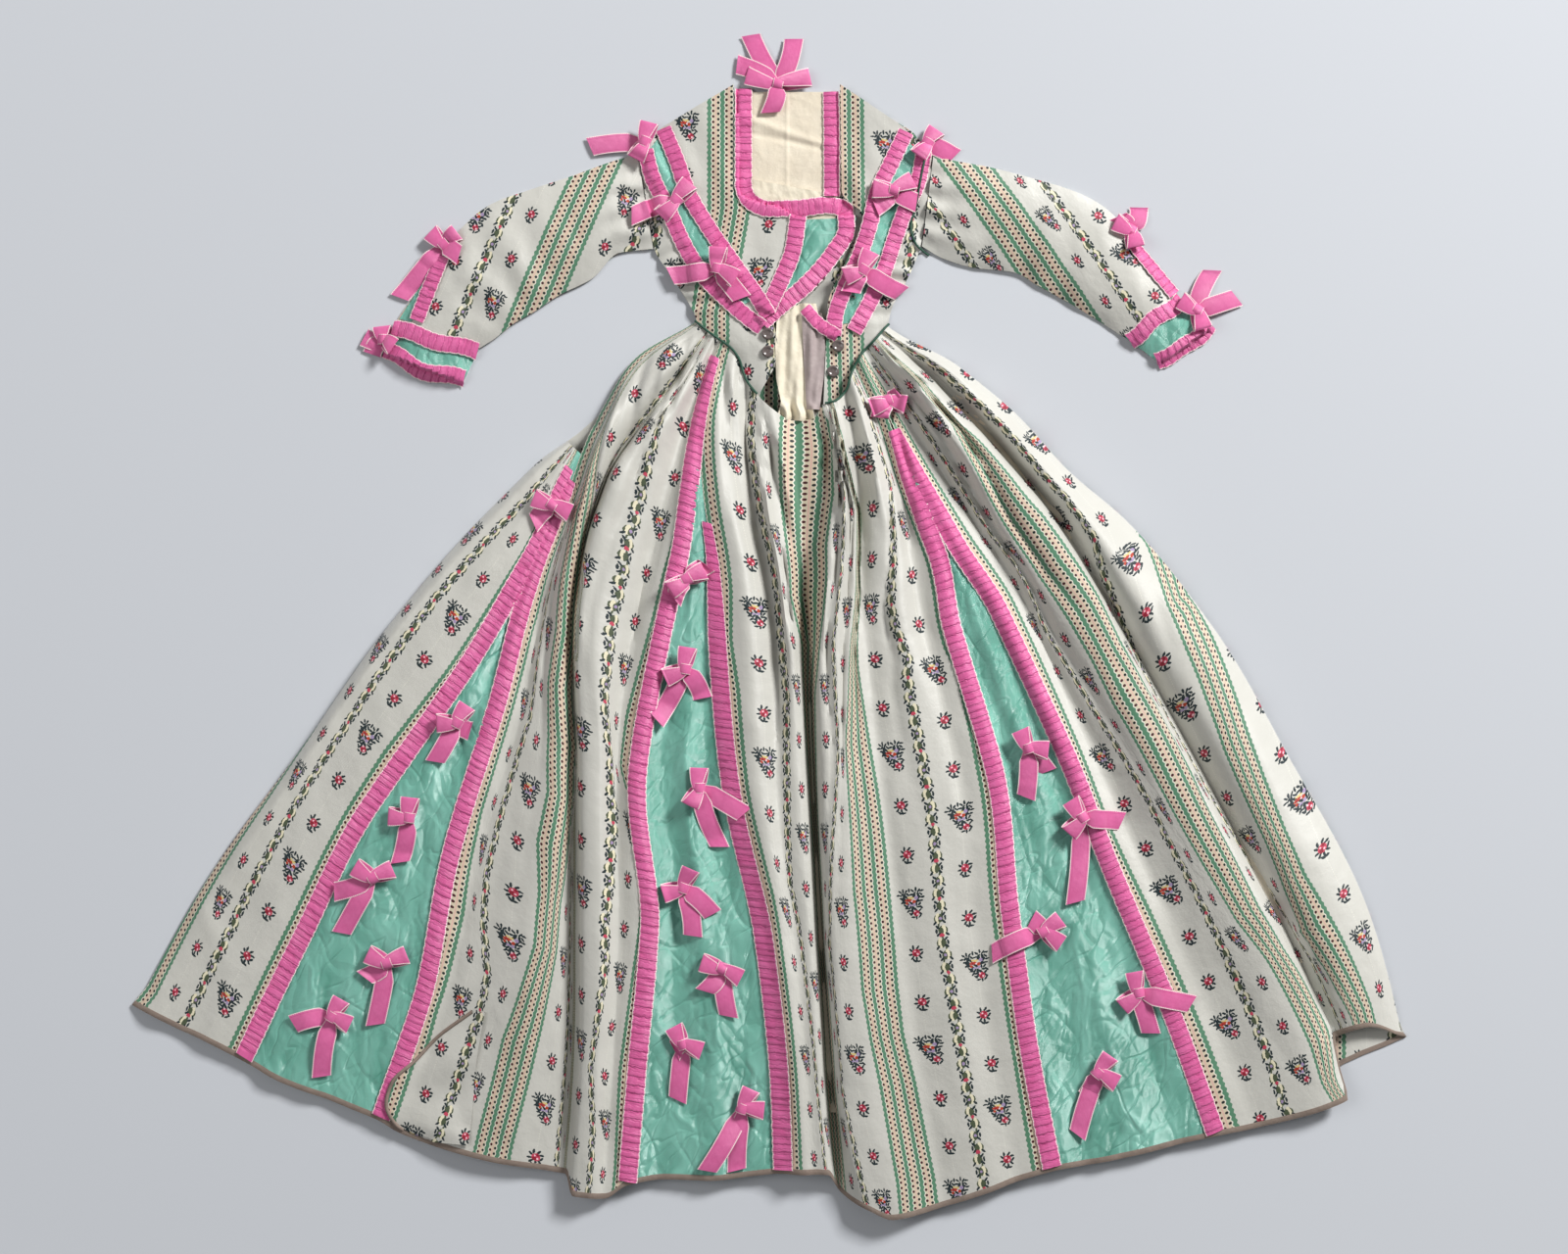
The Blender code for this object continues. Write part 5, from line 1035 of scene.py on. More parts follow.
def ribbon_material(name, dark, light, pleated):
    """Ribbed ribbon with looped edges, coloured lighter where its bump rises as painted highlight; the
    gathered one has a dark line of painted shade in each pleat.
    """
    material, net, shader = new_material(name)
    vector = cloth_vector(net)
    s, t = net.split(vector)
    # Partly painted light: one noise varies the pink at random and also raises the bump, so the ribbon is
    # coloured lighter where it rises, as painted highlight, and darker in its dips, as painted shade.
    tone = net.noise(vector, 0.06, 3.0, 0.6)
    base = net.mix(tone, dark, light)
    ribs = net.wave(t, RIBBON_RIB)
    height = net.scaled(ribs, 0.3, net.times(tone, 3.0))
    # Painted shade: a dark magenta line is painted along the crease of each pleat, where the bump also sinks,
    # with fainter lines between.
    if pleated:
        bent = net.scaled(net.noise(vector, 0.16, 2.0), 5.0, t)
        place = net.size(net.wrap(bent, RUCHE_PITCH / 2))
        crease = net.minus(1.0, net.maths("DIVIDE", place, 1.2), clamp=True)
        second = net.size(net.wrap(net.scaled(tone, 6.0, bent), 3.1))
        weak = net.minus(1.0, net.maths("DIVIDE", second, 0.9), clamp=True)
        crease = net.maths("MAXIMUM", crease, net.times(weak, 0.45))
        faint = net.scaled(net.noise(vector, 0.09, 1.0), 1.3, -0.15, clamp=True)
        base = net.mix(net.times(crease, faint), base, colour(168, 44, 108))
        height = net.scaled(crease, -2.4, height)
    stitch = net.below(net.size(net.minus(net.size(s), STITCH_PLACE)), 0.35)
    base = net.mix(net.times(stitch, 0.35), base, colour(170, 40, 100))
    loops = net.wave(t, LOOP_PITCH)
    edge = net.above(net.size(s), net.scaled(loops, 0.3, LOOP_PLACE))
    net.feed(shader.inputs["Base Color"], net.mix(edge, base, colour(246, 222, 220)))
    add_bump(net, shader, height, 0.6, 0.0005)
    set_values(shader, {"Roughness": 0.42, "Specular IOR Level": 0.45,
                        "Sheen Weight": 0.3, "Sheen Roughness": 0.4})
    return material


def woven_material(name, first, second, scale, roughness, thread):
    """Plain cloth of two close tones with a visible weave."""
    material, net, shader = new_material(name)
    vector = cloth_vector(net)
    tone = net.noise(vector, scale, 4.0, 0.65)
    net.feed(shader.inputs["Base Color"], net.mix(tone, first, second))
    s, t = net.split(vector)
    warp = net.wave(s, thread)
    weft = net.wave(t, thread)
    height = net.scaled(net.times(warp, weft), 0.3, net.times(net.noise(vector, 0.08, 3.0, 0.6), 4.0))
    add_bump(net, shader, height, 0.5, 0.0006)
    shader.inputs["Roughness"].default_value = roughness
    return material


def button_material():
    material, net, shader = new_material("dark_horn")
    vector = cloth_vector(net)
    tone = net.noise(vector, 0.4, 4.0, 0.6)
    net.feed(shader.inputs["Base Color"], net.mix(tone, colour(70, 60, 60), colour(128, 116, 112)))
    set_values(shader, {"Roughness": 0.22, "Coat Weight": 0.5, "Coat Roughness": 0.1})
    return material


def build_materials():
    return {
        "brocade": brocade_material(brocade_group()),
        "taffeta": taffeta_material(),
        # Each ribbon's two pinks vary at random and also paint the raised parts of its bump lighter, as
        # painted highlight, and its dips darker, as painted shade.
        "ribbon": ribbon_material("pink_ribbon", colour(208, 84, 142), colour(232, 122, 176), False),
        "ruche": ribbon_material("ruched_ribbon", colour(202, 68, 132), colour(236, 124, 180), True),
        "lining": woven_material("linen", colour(222, 208, 184), colour(240, 230, 210), 0.03, 0.8, 1.2),
        "gauze": woven_material("gauze", colour(214, 202, 176), colour(240, 232, 212), 0.05, 0.6, 1.6),
        "veil": woven_material("sheer_mauve", colour(150, 134, 134), colour(186, 172, 168), 0.05, 0.6, 1.6),
        "binding": woven_material("tape", colour(122, 106, 96), colour(150, 134, 122), 0.1, 0.85, 1.4),
        "piping": woven_material("piping", colour(28, 66, 52), colour(44, 92, 72), 0.1, 0.5, 1.0),
        "button": button_material(),
    }


# Distances at which the widest strip of a panel is found
WIDTH_AT = (300.0, 500.0, 720.0, 900.0, 1080.0, 1240.0)


def panel_columns(first, last):
    """Fine columns between the fold lines of a panel: fold line and share."""
    start, end = FOLD_NAMES.index(first), FOLD_NAMES.index(last)
    radii = np.array(WIDTH_AT)
    angles, heights = fold_angles(radii), read_rows(HEIGHT_TABLE, radii)
    columns = []
    for line in range(start, end):
        width = np.radians(angles[:, line + 1] - angles[:, line]) * radii
        rise = heights[:, line + 1] - heights[:, line]
        strips = max(2, int(math.ceil(np.hypot(width, rise).max() / COLUMN_PITCH)))
        columns += [(line, k / strips) for k in range(strips)]
    return columns + [(end, 0.0)]


def column_angle(line, share, radius):
    angles = fold_angles(radius)
    following = min(line + 1, len(FOLDS) - 1)
    return angles[:, line] * (1.0 - share) + angles[:, following] * share


def column_ends(line, share, start):
    """First and last distance of a column: the waist seam or a fixed start, and the hem."""
    if start == 0.0:
        start = 300.0
        for _ in range(3):
            angle = column_angle(line, share, np.array([start]))
            start = table_curve(WAIST_SEAM, angle)[0] + 2 * SEAM_GAP
    far = np.array([float(ANGLE_STATIONS[-1])])
    return start, hem_radius(column_angle(line, share, far))[0]


# A woven line that has run off its panel is drawn out to the edge over this distance
LINE_FADE = 15.0
# Narrowest panel in degrees, and the least share of a panel between two woven lines
NARROWEST = 0.2
LINE_GAP = 0.004


def woven_across(panel, angle, radius):
    """The cloth's distance across at each place, from where the woven lines run."""
    angles = fold_angles(radius)
    first, last = angles[:, FOLD_NAMES.index(panel.first)], angles[:, FOLD_NAMES.index(panel.last)]
    width = np.maximum(last - first, NARROWEST)
    lowest, highest = (np.interp(radius / PX, *zip(*edge)) for edge in WOVEN_EDGES[panel.name])
    knots = [np.zeros(len(radius))]
    values = [lowest]
    for woven in WOVEN[panel.name]:
        if isinstance(woven.places[0][0], str):
            name, shift = woven.places[0]
            share = (angles[:, FOLD_NAMES.index(name)] + shift - first) / width
        else:
            reading = np.array(woven.places, float)
            at = reading[:, 0] * PX
            known = fold_angles(at)
            from_first = reading[:, 1] - known[:, FOLD_NAMES.index(panel.first)]
            whole = known[:, FOLD_NAMES.index(panel.last)] - known[:, FOLD_NAMES.index(panel.first)]
            share = np.interp(radius, at, from_first / np.maximum(whole, NARROWEST))
        over = np.clip((woven.across - highest) / LINE_FADE, 0.0, 1.0)
        under = np.clip((lowest - woven.across) / LINE_FADE, 0.0, 1.0)
        knots.append((share + over * (1.0 - share)) * (1.0 - under))
        values.append(np.clip(np.full(len(radius), woven.across), lowest + 0.5, highest - 0.5))
    knots.append(np.ones(len(radius)))
    values.append(highest)
    knots, values = np.array(knots).T, np.array(values).T
    for k in range(1, knots.shape[1] - 1):
        knots[:, k] = np.maximum(knots[:, k], knots[:, k - 1] + LINE_GAP)
    for k in range(knots.shape[1] - 2, 0, -1):
        knots[:, k] = np.minimum(knots[:, k], knots[:, k + 1] - LINE_GAP)
    return smooth_curve(knots, values, np.clip((angle - first) / width, 0.0, 1.0))


hem_points = []


def build_skirt(materials):
    for number, panel in enumerate(PANELS):
        columns = panel_columns(panel.first, panel.last)
        ends = [column_ends(line, share, panel.start) for line, share in columns]
        rows = int(round((ends[0][1] - ends[0][0]) / ROW_PITCH)) + 1
        shares = np.linspace(0.0, 1.0, rows)
        angle, radius = np.zeros((len(columns), rows)), np.zeros((len(columns), rows))
        for c, (line, share) in enumerate(columns):
            radius[c] = ends[c][0] + (ends[c][1] - ends[c][0]) * shares
            angle[c] = column_angle(line, share, radius[c])
        angle[0] += np.degrees(0.5 * SEAM_GAP / radius[0])
        angle[-1] -= np.degrees(0.5 * SEAM_GAP / radius[-1])
        x, y = fan_to_plan(angle, radius)
        z = skirt_height(angle.ravel(), radius.ravel()).reshape(angle.shape)
        if panel.cloth == "taffeta":
            inside = np.sin(np.pi * np.linspace(0.0, 1.0, len(columns))) ** 0.5
            arc = np.radians(angle - angle[len(columns) // 2]) * radius
            folds = crumple(arc, radius / 4.5, "gore", 7.0 * number)
            folds += 1.6 * np.sin(arc / 8.5 + 1.5 * np.sin(radius / 95.0 + number)) * np.sin(radius / 160.0)
            z += (folds + crumple(x, y, "gore_fine", number)) * inside[:, None]
            uv = np.stack((x, -y), axis=-1)
        else:
            across = woven_across(panel, angle.ravel(), radius.ravel()).reshape(angle.shape)
            if panel.start == 0.0:
                from_seam = np.radians(np.minimum(angle - angle[0], angle[-1] - angle)) * radius
                free = np.clip((from_seam - RIBBON_SEAT) / SEAT_FADE, 0.0, 1.0)
                z += gather_height(across, radius - radius[:, :1], number) * free
            z += crumple(x, y, "skirt", number) * np.clip(z / 12.0, 0.0, 1.0)
            z = np.maximum(z, EDGE_TOP)
            uv = np.stack((across, radius + panel.phase), axis=-1)
        points = np.stack((x, y, z), axis=-1)
        hem_points.append((points[:, -1].copy(), angle[:, -1].copy()))
        obj = cloth_object(panel.name + "_cloth", points, uv, materials[panel.cloth], SHELL)
        place_piece(obj, panel.name)


def build_hem(materials):
    """Tape bound over the hem of the front."""
    edge = np.concatenate([points for points, angle in hem_points])
    angle = np.radians(np.concatenate([angle for points, angle in hem_points]))
    outward = np.stack((np.sin(angle), -np.cos(angle), np.zeros(len(angle))), axis=1)
    lift = np.array((0.0, 0.0, 1.0))
    rows = [edge - outward * 2.0 + lift * 0.5, edge + outward * 0.8 + lift * 0.7,
            edge + outward * HEM_BINDING * 0.6 + lift * 0.3, edge + outward * HEM_BINDING - lift * 0.5]
    points = np.stack(rows, axis=1)
    run = run_lengths(edge)
    uv = np.stack((np.tile(np.arange(4) * 2.0, (len(edge), 1)), np.tile(run[:, None], (1, 4))), axis=-1)
    tape = cloth_object("hem_tape", points, uv, materials["binding"], 1.0, ground=False)
    place_piece(tape, "skirt_hem_binding")


def pleat_heights(run, across, seed):
    """Heights of a ruched ribbon over its lowest face, the swing of its edges and the pleats passed."""
    rng = np.random.default_rng(seed)
    count = int(run[-1] / RUCHE_PITCH) + 4
    stops = np.cumsum(rng.uniform(0.65, 1.35, count)) * RUCHE_PITCH
    passed = np.interp(run, np.concatenate(([0.0], stops)), np.arange(count + 1))
    part = passed % 1.0
    strength = np.interp(passed, np.arange(count + 1), rng.uniform(0.5, 1.0, count + 1))
    lean = np.interp(passed, np.arange(count + 1), rng.uniform(-0.18, 0.18, count + 1))
    edges = across[:, None] ** 2
    shifted = (part[None, :] + lean[None, :] * across[:, None]) % 1.0
    puff = strength * (np.sin(np.pi * shifted) ** 0.6)
    tuck = strength * np.clip(1.0 - shifted * 4.5, 0.0, 1.0)
    height = (1.0 - 0.7 * edges) + 1.9 * puff * (0.5 + 0.5 * (1.0 - edges)) + 1.3 * tuck
    return height, 1.1 * strength * np.sin(np.pi * part), passed


def ruched_ribbon(name, centre, sideways, half, height_of, material, seed, clearance=BODICE_CLEARANCE):
    """A gathered ribbon along a route, on whatever lies under it."""
    run = run_lengths(centre)
    across = np.linspace(-1.0, 1.0, RUCHE_COLUMNS)
    heights, swing, passed = pleat_heights(run, across, seed)
    half = np.broadcast_to(half, run.shape)
    reach = across[:, None] * (half + swing - 0.4)[None, :]
    x = centre[None, :, 0] + reach * sideways[None, :, 0]
    y = centre[None, :, 1] + reach * sideways[None, :, 1]
    z = height_of(x.ravel(), y.ravel()).reshape(x.shape) + clearance + heights
    uv = np.stack(np.broadcast_arrays(across[:, None] * RIBBON_EDGE, passed * RUCHE_PITCH), axis=-1)
    return cloth_object(name, np.stack((x, y, z), axis=-1), uv, material, RUCHE_WALL)


def build_skirt_ribbons(materials):
    for number, ribbon in enumerate(SKIRT_RIBBONS):
        line = FOLD_NAMES.index(ribbon.seam)
        hem = column_ends(line, 0.0, 500.0)[1]
        radius = np.linspace(ribbon.start, hem, int((hem - ribbon.start) / 1.5))
        angle = fold_angles(radius)[:, line]
        centre = np.stack(fan_to_plan(angle, radius), axis=1)
        turn = np.radians(angle)
        sideways = np.stack((np.cos(turn), np.sin(turn)), axis=1)
        half = np.interp(radius, (ribbon.start, ribbon.start + 130.0), (6.5, SKIRT_RIBBON_HALF))
        obj = ruched_ribbon(ribbon.name + "_ruched", centre, sideways, half, height_at,
                            materials["ruche"], SEEDS["skirt"] + number, SKIRT_CLEARANCE)
        place_piece(obj, ribbon.name)


def between(edges, columns):
    """Grid of places between two edges, each a row of points."""
    share = np.linspace(0.0, 1.0, columns)[:, None, None]
    return edges[0] * (1 - share) + edges[1] * share


def flat_sheet(name, edges, height_of, columns, rows, material, thickness, uv_of=flat_coordinate):
    """A sheet between two edges."""
    places = np.linspace(0.0, 1.0, rows)
    tracks = []
    for edge in edges:
        track = np.linspace(0.0, 1.0, len(edge))
        tracks.append(np.stack([np.interp(places, track, values) for values in zip(*edge)], axis=-1))
    plan = between(tracks, columns)
    z = height_of(plan[..., 0].ravel(), plan[..., 1].ravel()).reshape(columns, rows)
    return cloth_object(name, np.concatenate((plan, z[..., None]), axis=2), uv_of(plan), material, thickness)


INNER_COLUMNS = 90
INNER_ROWS = 60
INNER_FROM = 300.0
INNER_TO = 1112.0
INNER_INSET = 22.0


def build_inner_layers(materials):
    """Underlayer that fills the skirt out, seen at the open edges."""
    radius = np.linspace(INNER_FROM, INNER_TO, INNER_ROWS)
    angles = fold_angles(radius)
    inset = np.degrees(INNER_INSET / radius)
    first, last = left_side(angles, radius) + inset, angles[:, -1] - inset
    points = np.zeros((INNER_COLUMNS, INNER_ROWS, 3))
    for c, share in enumerate(np.linspace(0.0, 1.0, INNER_COLUMNS)):
        angle = first * (1 - share) + last * share
        points[c, :, 0], points[c, :, 1] = fan_to_plan(angle, radius)
        full = 3.2 + 0.6 * hidden_rise(angle, radius, angles) + 1.2 * np.sin(share * 130.0 + radius / 90.0)
        points[c, :, 2] = np.maximum(np.minimum(full, skirt_height(angle, radius) - 2.5), 1.9)
    uv = flat_coordinate(points)
    obj = cloth_object("inner_layers", points, uv, materials["lining"], HIDDEN_WALL, ground=False)
    place_piece(obj, "skirt_hidden_layers")


# Turned corner of the hem in px: its two edges, and two places on its garland
LOBE_LEFT = ((484, 1030), (449, 1056), (426, 1080), (402, 1103), (396, 1125), (405, 1146), (432, 1163))
LOBE_RIGHT = ((497, 1030), (492, 1056), (488, 1080), (486, 1103), (484, 1125), (482, 1146), (480, 1166))
LOBE_GARLAND = ((455, 1140), (487, 1045))


def build_lobe(materials):
    """Lower corner of the left front panel, curled over the end of its ribbon."""
    left = [px_to_plan(*point) for point in LOBE_LEFT]
    right = [px_to_plan(*point) for point in LOBE_RIGHT]
    low = reader(ground_tree())

    def height(x, y):
        start = np.interp(-y, [-point[1] for point in left], [point[0] for point in left])
        share = np.clip((x - start) / 85.0, 0.0, 1.0)
        return low(x, y) + 1.2 + 4.0 * np.sin(np.pi * share) + 0.7 * np.sin(y / 11.0)

    def woven(plan):
        (low_x, low_y), (high_x, high_y) = (px_to_plan(*point) for point in LOBE_GARLAND)
        garland = low_x + (plan[..., 1] - low_y) * (high_x - low_x) / (high_y - low_y)
        along = plan_to_fan(plan[..., 0], plan[..., 1])[1] + 20.0
        return np.stack((STRIPE_REPEAT / 2 + plan[..., 0] - garland, along), axis=-1)

    obj = flat_sheet("hem_lobe", (left, right), height, 22, 40, materials["brocade"], SHELL, woven)
    place_piece(obj)
    route = smooth_route(left, 4.0)[0]
    path = np.column_stack((route, height(route[:, 0], route[:, 1]) + 0.4))
    place_piece(tube("hem_lobe_tape", path, 2.2, materials["binding"]))


BACK_COLUMNS = 60
BACK_ROWS = 60
# Tape of the back's hem: distance past the hem, and height
BACK_TAPE = ((-1.5, 2.1), (1.5, 2.2), (4.5, 1.6))
TAPE_WALL = 1.2


def build_back(materials):
    """The back of the skirt, flat on the surface, with its own hem tape."""
    hem_angles = fold_angles(np.array([float(ANGLE_STATIONS[-1])]))[0]
    waist_angles = fold_angles(np.array([float(ANGLE_STATIONS[0])]))[0]
    past, tape_heights = np.array(BACK_TAPE).T
    points = np.zeros((BACK_COLUMNS, BACK_ROWS, 3))
    tape = []
    for c, share in enumerate(np.linspace(0.0, 1.0, BACK_COLUMNS)):
        hem = table_curve(BACK_HEM, hem_angles[0] * (1 - share) + hem_angles[-1] * share)[0]
        waist_angle = waist_angles[0] * (1 - share) + waist_angles[-1] * share
        waist = (FAN_Y - BACK_WAIST_Y + SEAM_GAP) / math.cos(math.radians(waist_angle))
        radius = np.linspace(waist, hem, BACK_ROWS)
        angles = fold_angles(radius)
        angle = left_side(angles, radius) * (1 - share) + angles[:, -1] * share
        points[c, :, 0], points[c, :, 1] = fan_to_plan(angle, radius)
        points[c, 0, 1] = BACK_WAIST_Y - SEAM_GAP
        tape.append(np.stack((*fan_to_plan(angle[-1], hem + past), tape_heights), axis=1))
    points[..., 2] = BACK_TOP
    obj = cloth_object("skirt_back_cloth", points, flat_coordinate(points), materials["brocade"], BACK_WALL)
    place_piece(obj, "skirt_back")
    tape = np.array(tape)
    obj = cloth_object("back_hem_tape", tape, flat_coordinate(tape), materials["binding"], TAPE_WALL)
    place_piece(obj)


def bodice_height(x, y):
    across = np.clip(np.abs(x - BODICE_CENTRE_X) / table_curve(BODICE_HALF_WIDTH, y), 0.0, 1.0)
    return EDGE_TOP + table_curve(BODICE_RISE, y) * (1.0 - across ** FRONT_DOME_POWER)


def dressed_bodice(x, y):
    """The bodice with small ease ripples."""
    ripple = 0.8 * np.sin(x / 17.0 + y / 41.0) * np.sin(y / 23.0 - x / 37.0)
    low = np.exp(-((y - 420.0) / 42.0) ** 2)
    side = np.clip((np.abs(x - BODICE_CENTRE_X) - 30.0) / 60.0, 0.0, 1.0)
    wrinkle = 2.4 * low * side * np.sin((y + 0.3 * np.abs(x)) / 3.4 + 1.6 * np.sin(x / 15.0))
    drag = 1.9 * np.exp(-((y - 545.0 + 0.25 * x) / 30.0) ** 2) * np.sin(x / 6.5 + y / 24.0) * side
    return bodice_height(x, y) + ripple + wrinkle + drag + crumple(x, y, "bodice")


def front_grid(lines):
    """Plan of one front: its lines from shoulder to waist, with strips between them."""
    shares = np.linspace(0.0, 1.0, FRONT_ROWS)
    stations = np.linspace(0.0, 1.0, len(lines[0].points) + 1)
    tracks = []
    for line in lines:
        end = fan_to_plan(line.waist_angle, table_curve(WAIST_SEAM, line.waist_angle)[0] - SEAM_GAP)
        points = list(line.points) + [tuple(float(c) for c in end)]
        tables = [[(s, p[axis]) for s, p in zip(stations, points)] for axis in (0, 1)]
        tracks.append([table_curve(table, shares) for table in tables])
    columns, waist_angles = [], []
    for line, here, after_line, after in zip(lines, tracks, lines[1:] + lines[-1:], tracks[1:] + tracks[-1:]):
        for k in range(max(line.strips, 1)):
            share = k / max(line.strips, 1)
            columns.append([here[axis] * (1 - share) + after[axis] * share for axis in (0, 1)])
            waist_angles.append(line.waist_angle * (1 - share) + after_line.waist_angle * share)
    plan = np.array(columns).transpose(0, 2, 1)
    seam = table_curve(WAIST_SEAM, waist_angles) - SEAM_GAP
    plan[:, -1, 0], plan[:, -1, 1] = fan_to_plan(np.array(waist_angles), seam)
    return plan


def linen_height(x, y):
    """The lining in the neck opening, with its centre seam and drag lines."""
    seam = 1.0 * np.exp(-((x - BODICE_CENTRE_X) / 1.6) ** 2)
    drag = 1.6 * np.exp(-((y - 610.0 + 0.35 * x) / 5.0) ** 2)
    drag = drag - 1.3 * np.exp(-((y - 597.0 + 0.2 * x) / 4.0) ** 2)
    waves = 0.9 * np.sin(y / 9.0 + x / 40.0) * np.exp(-((y - 520.0) / 45.0) ** 2)
    return 3.4 + crumple(x, y, "linen") + seam + drag + waves


def gauze_height(x, y):
    """Soft gauze in the front opening, with a frilled end."""
    fold = 1.5 * np.sin((x - 10.0) / 3.4 + y / 40.0) + 0.9 * np.sin(x / 1.9 - y / 26.0)
    frill = np.exp(-((y - 254.0) / 14.0) ** 2)
    ruffle = 5.0 * frill * (1.0 + np.sin(x / 2.6 + 1.1 * np.sin(y / 6.0)))
    return bodice_height(x, y) + 0.6 + fold + ruffle + crumple(x, y, "gauze")


# Sheets of the bodice: name, edges, heights, columns, rows, cloth, wall, finish and the node
BodiceSheet = namedtuple("BodiceSheet", "name edges height columns rows cloth wall slot node")
BODICE_SHEETS = (
    BodiceSheet("stomacher_silk", STOMACHER_EDGES,
                lambda x, y: dressed_bodice(x, y) + 0.1 + crumple(x, y, "stomacher"),
                24, 30, "taffeta", SHELL, "taffeta", "stomacher"),
    BodiceSheet("lining_linen", LINING_EDGES, linen_height, 60, 80, "lining", 0.8, "lining",
                "bodice_lining"),
    BodiceSheet("bodice_back_cloth", BODICE_BACK_EDGES, lambda x, y: np.full(len(x), BACK_TOP),
                30, 40, "brocade", BACK_WALL, "brocade", "bodice_back"),
    BodiceSheet("gauze_drape", GAUZE_EDGES, gauze_height, 36, 60, "gauze", 0.5, "gauze", "gauze"),
    BodiceSheet("gauze_veil", VEIL_EDGES, lambda x, y: gauze_height(x, y) + 1.6, 16, 40, "veil", 0.4,
                "gauze", None),
    BodiceSheet("neck_gauze", NECK_EDGES, lambda x, y: 5.6 + crumple(x, y, "neck"), 50, 12,
                "gauze", 0.4, "gauze", None),
)


def build_bodice(materials):
    for name, lines in (("bodice_front_left", FRONT_LEFT), ("bodice_front_right", FRONT_RIGHT)):
        plan = front_grid(lines)
        x, y = plan[..., 0], plan[..., 1]
        z = dressed_bodice(x.ravel(), y.ravel()).reshape(x.shape)
        heights, middles, scales = zip(*sorted(FRONT_WOVEN[name]))
        across = (x - np.interp(y, heights, middles)) / np.interp(y, heights, scales)
        uv = np.stack((across, FRONT_PHASE[name] - y), axis=-1)
        obj = cloth_object(name + "_cloth", np.stack((x, y, z), axis=-1), uv, materials["brocade"], SHELL)
        place_piece(obj, name)
    for sheet in BODICE_SHEETS:
        obj = flat_sheet(sheet.name, sheet.edges, sheet.height, sheet.columns, sheet.rows,
                         materials[sheet.cloth], sheet.wall)
        place_piece(obj, sheet.node)


def sleeve_edges(rows, count):
    """Outer and inner edge of a sleeve as close points."""
    stations = np.linspace(0.0, 1.0, len(rows))
    at = np.linspace(0.0, 1.0, count)
    return [np.stack([table_curve([(s, row[edge][axis]) for s, row in zip(stations, rows)], at)
                      for axis in (0, 1)], axis=-1) for edge in (0, 1)]


def sleeve_dome(columns):
    return (1.0 - np.abs(2.0 * np.linspace(0.0, 1.0, columns) - 1.0) ** SLEEVE_DOME_POWER)[:, None]


def sleeve_top(rows):
    """The upper side of a sleeve, rounded and wrinkled."""
    at = np.linspace(0.0, 1.0, SLEEVE_ROWS)
    share = np.linspace(0.0, 1.0, SLEEVE_COLUMNS)[:, None]
    dome = sleeve_dome(SLEEVE_COLUMNS)
    rise = table_curve([(s, row.rise) for s, row in zip(np.linspace(0.0, 1.0, len(rows)), rows)], at)
    z = EDGE_TOP + rise * dome
    z = z + dome * 2.0 * np.exp(-((at - 0.62) / 0.25) ** 2) * np.sin(at * 34.0 + share * 3.0)
    z = z + dome * 1.2 * np.sin(at * 11.0 - share * 7.0)
    z = z + dome * 3.4 * np.exp(-(at / 0.18) ** 2) * np.sin(share * 24.0 + at * 9.0)
    plan = between(sleeve_edges(rows, SLEEVE_ROWS), SLEEVE_COLUMNS)
    z = z + crumple(plan[..., 0], plan[..., 1], "sleeve")
    return np.concatenate((plan, z[..., None]), axis=2)


def sleeve_coordinate(points, grain):
    """Cloth coordinate of a sleeve, whose weave runs aslant."""
    run = np.array((grain.run_x, -grain.run_y))
    from_centre = points[..., :2] - np.array(px_to_plan(grain.x, grain.y))
    aside = from_centre @ np.array((-run[1], run[0]))
    spread = np.interp(np.abs(aside), (0.0, STRIPE_HALF, grain.garland, grain.garland + STRIPE_REPEAT / 2),
                       (0.0, STRIPE_HALF, STRIPE_REPEAT / 2, STRIPE_REPEAT))
    return np.stack((np.sign(aside) * spread, from_centre @ run + grain.phase), axis=-1)


def build_sleeves(materials):
    for side, rows, cuff_end in SLEEVES:
        name = "sleeve_" + side
        points = sleeve_top(rows)
        uv = sleeve_coordinate(points, SLEEVE_GRAIN[side])
        if side == "left":
            points, uv = points[:, ::-1], uv[:, ::-1]
        obj = cloth_object(name + "_top_cloth", points.transpose(1, 0, 2), uv.transpose(1, 0, 2),
                           materials["brocade"], SHELL)
        place_piece(obj, name + "_top")

        end = SleeveRow(*cuff_end, CUFF_RISE)
        plan = between(sleeve_edges(rows + (end,), UNDER_ROWS), UNDER_COLUMNS)
        under = face_up(np.concatenate((plan, np.full((UNDER_COLUMNS, UNDER_ROWS, 1), BACK_TOP)), axis=2))
        obj = cloth_object(name + "_under_cloth", under, flat_coordinate(under), materials["brocade"],
                           BACK_WALL)
        place_piece(obj, name + "_under")

        share = np.linspace(0.0, 1.0, CUFF_ROWS)[:, None]
        edges = [np.array(rows[-1][edge]) * (1 - share) + np.array(end[edge]) * share for edge in (0, 1)]
        plan = between(edges, CUFF_COLUMNS)
        z = EDGE_TOP + 0.1 + CUFF_RISE * sleeve_dome(CUFF_COLUMNS)
        z = z + crumple(plan[..., 0], plan[..., 1], "cuff")
        cuff = face_up(np.concatenate((plan, z[..., None]), axis=2))
        obj = cloth_object("cuff_" + side + "_silk", cuff, flat_coordinate(cuff), materials["taffeta"], SHELL)
        place_piece(obj, "cuff_" + side)


def ground_tree():
    vertices, faces = [], []
    for points in solid_ground:
        faces += (grid_quads(grid_index(points)) + len(vertices)).tolist()
        vertices += points.reshape(-1, 3).tolist()
    return BVHTree.FromPolygons(vertices, faces)


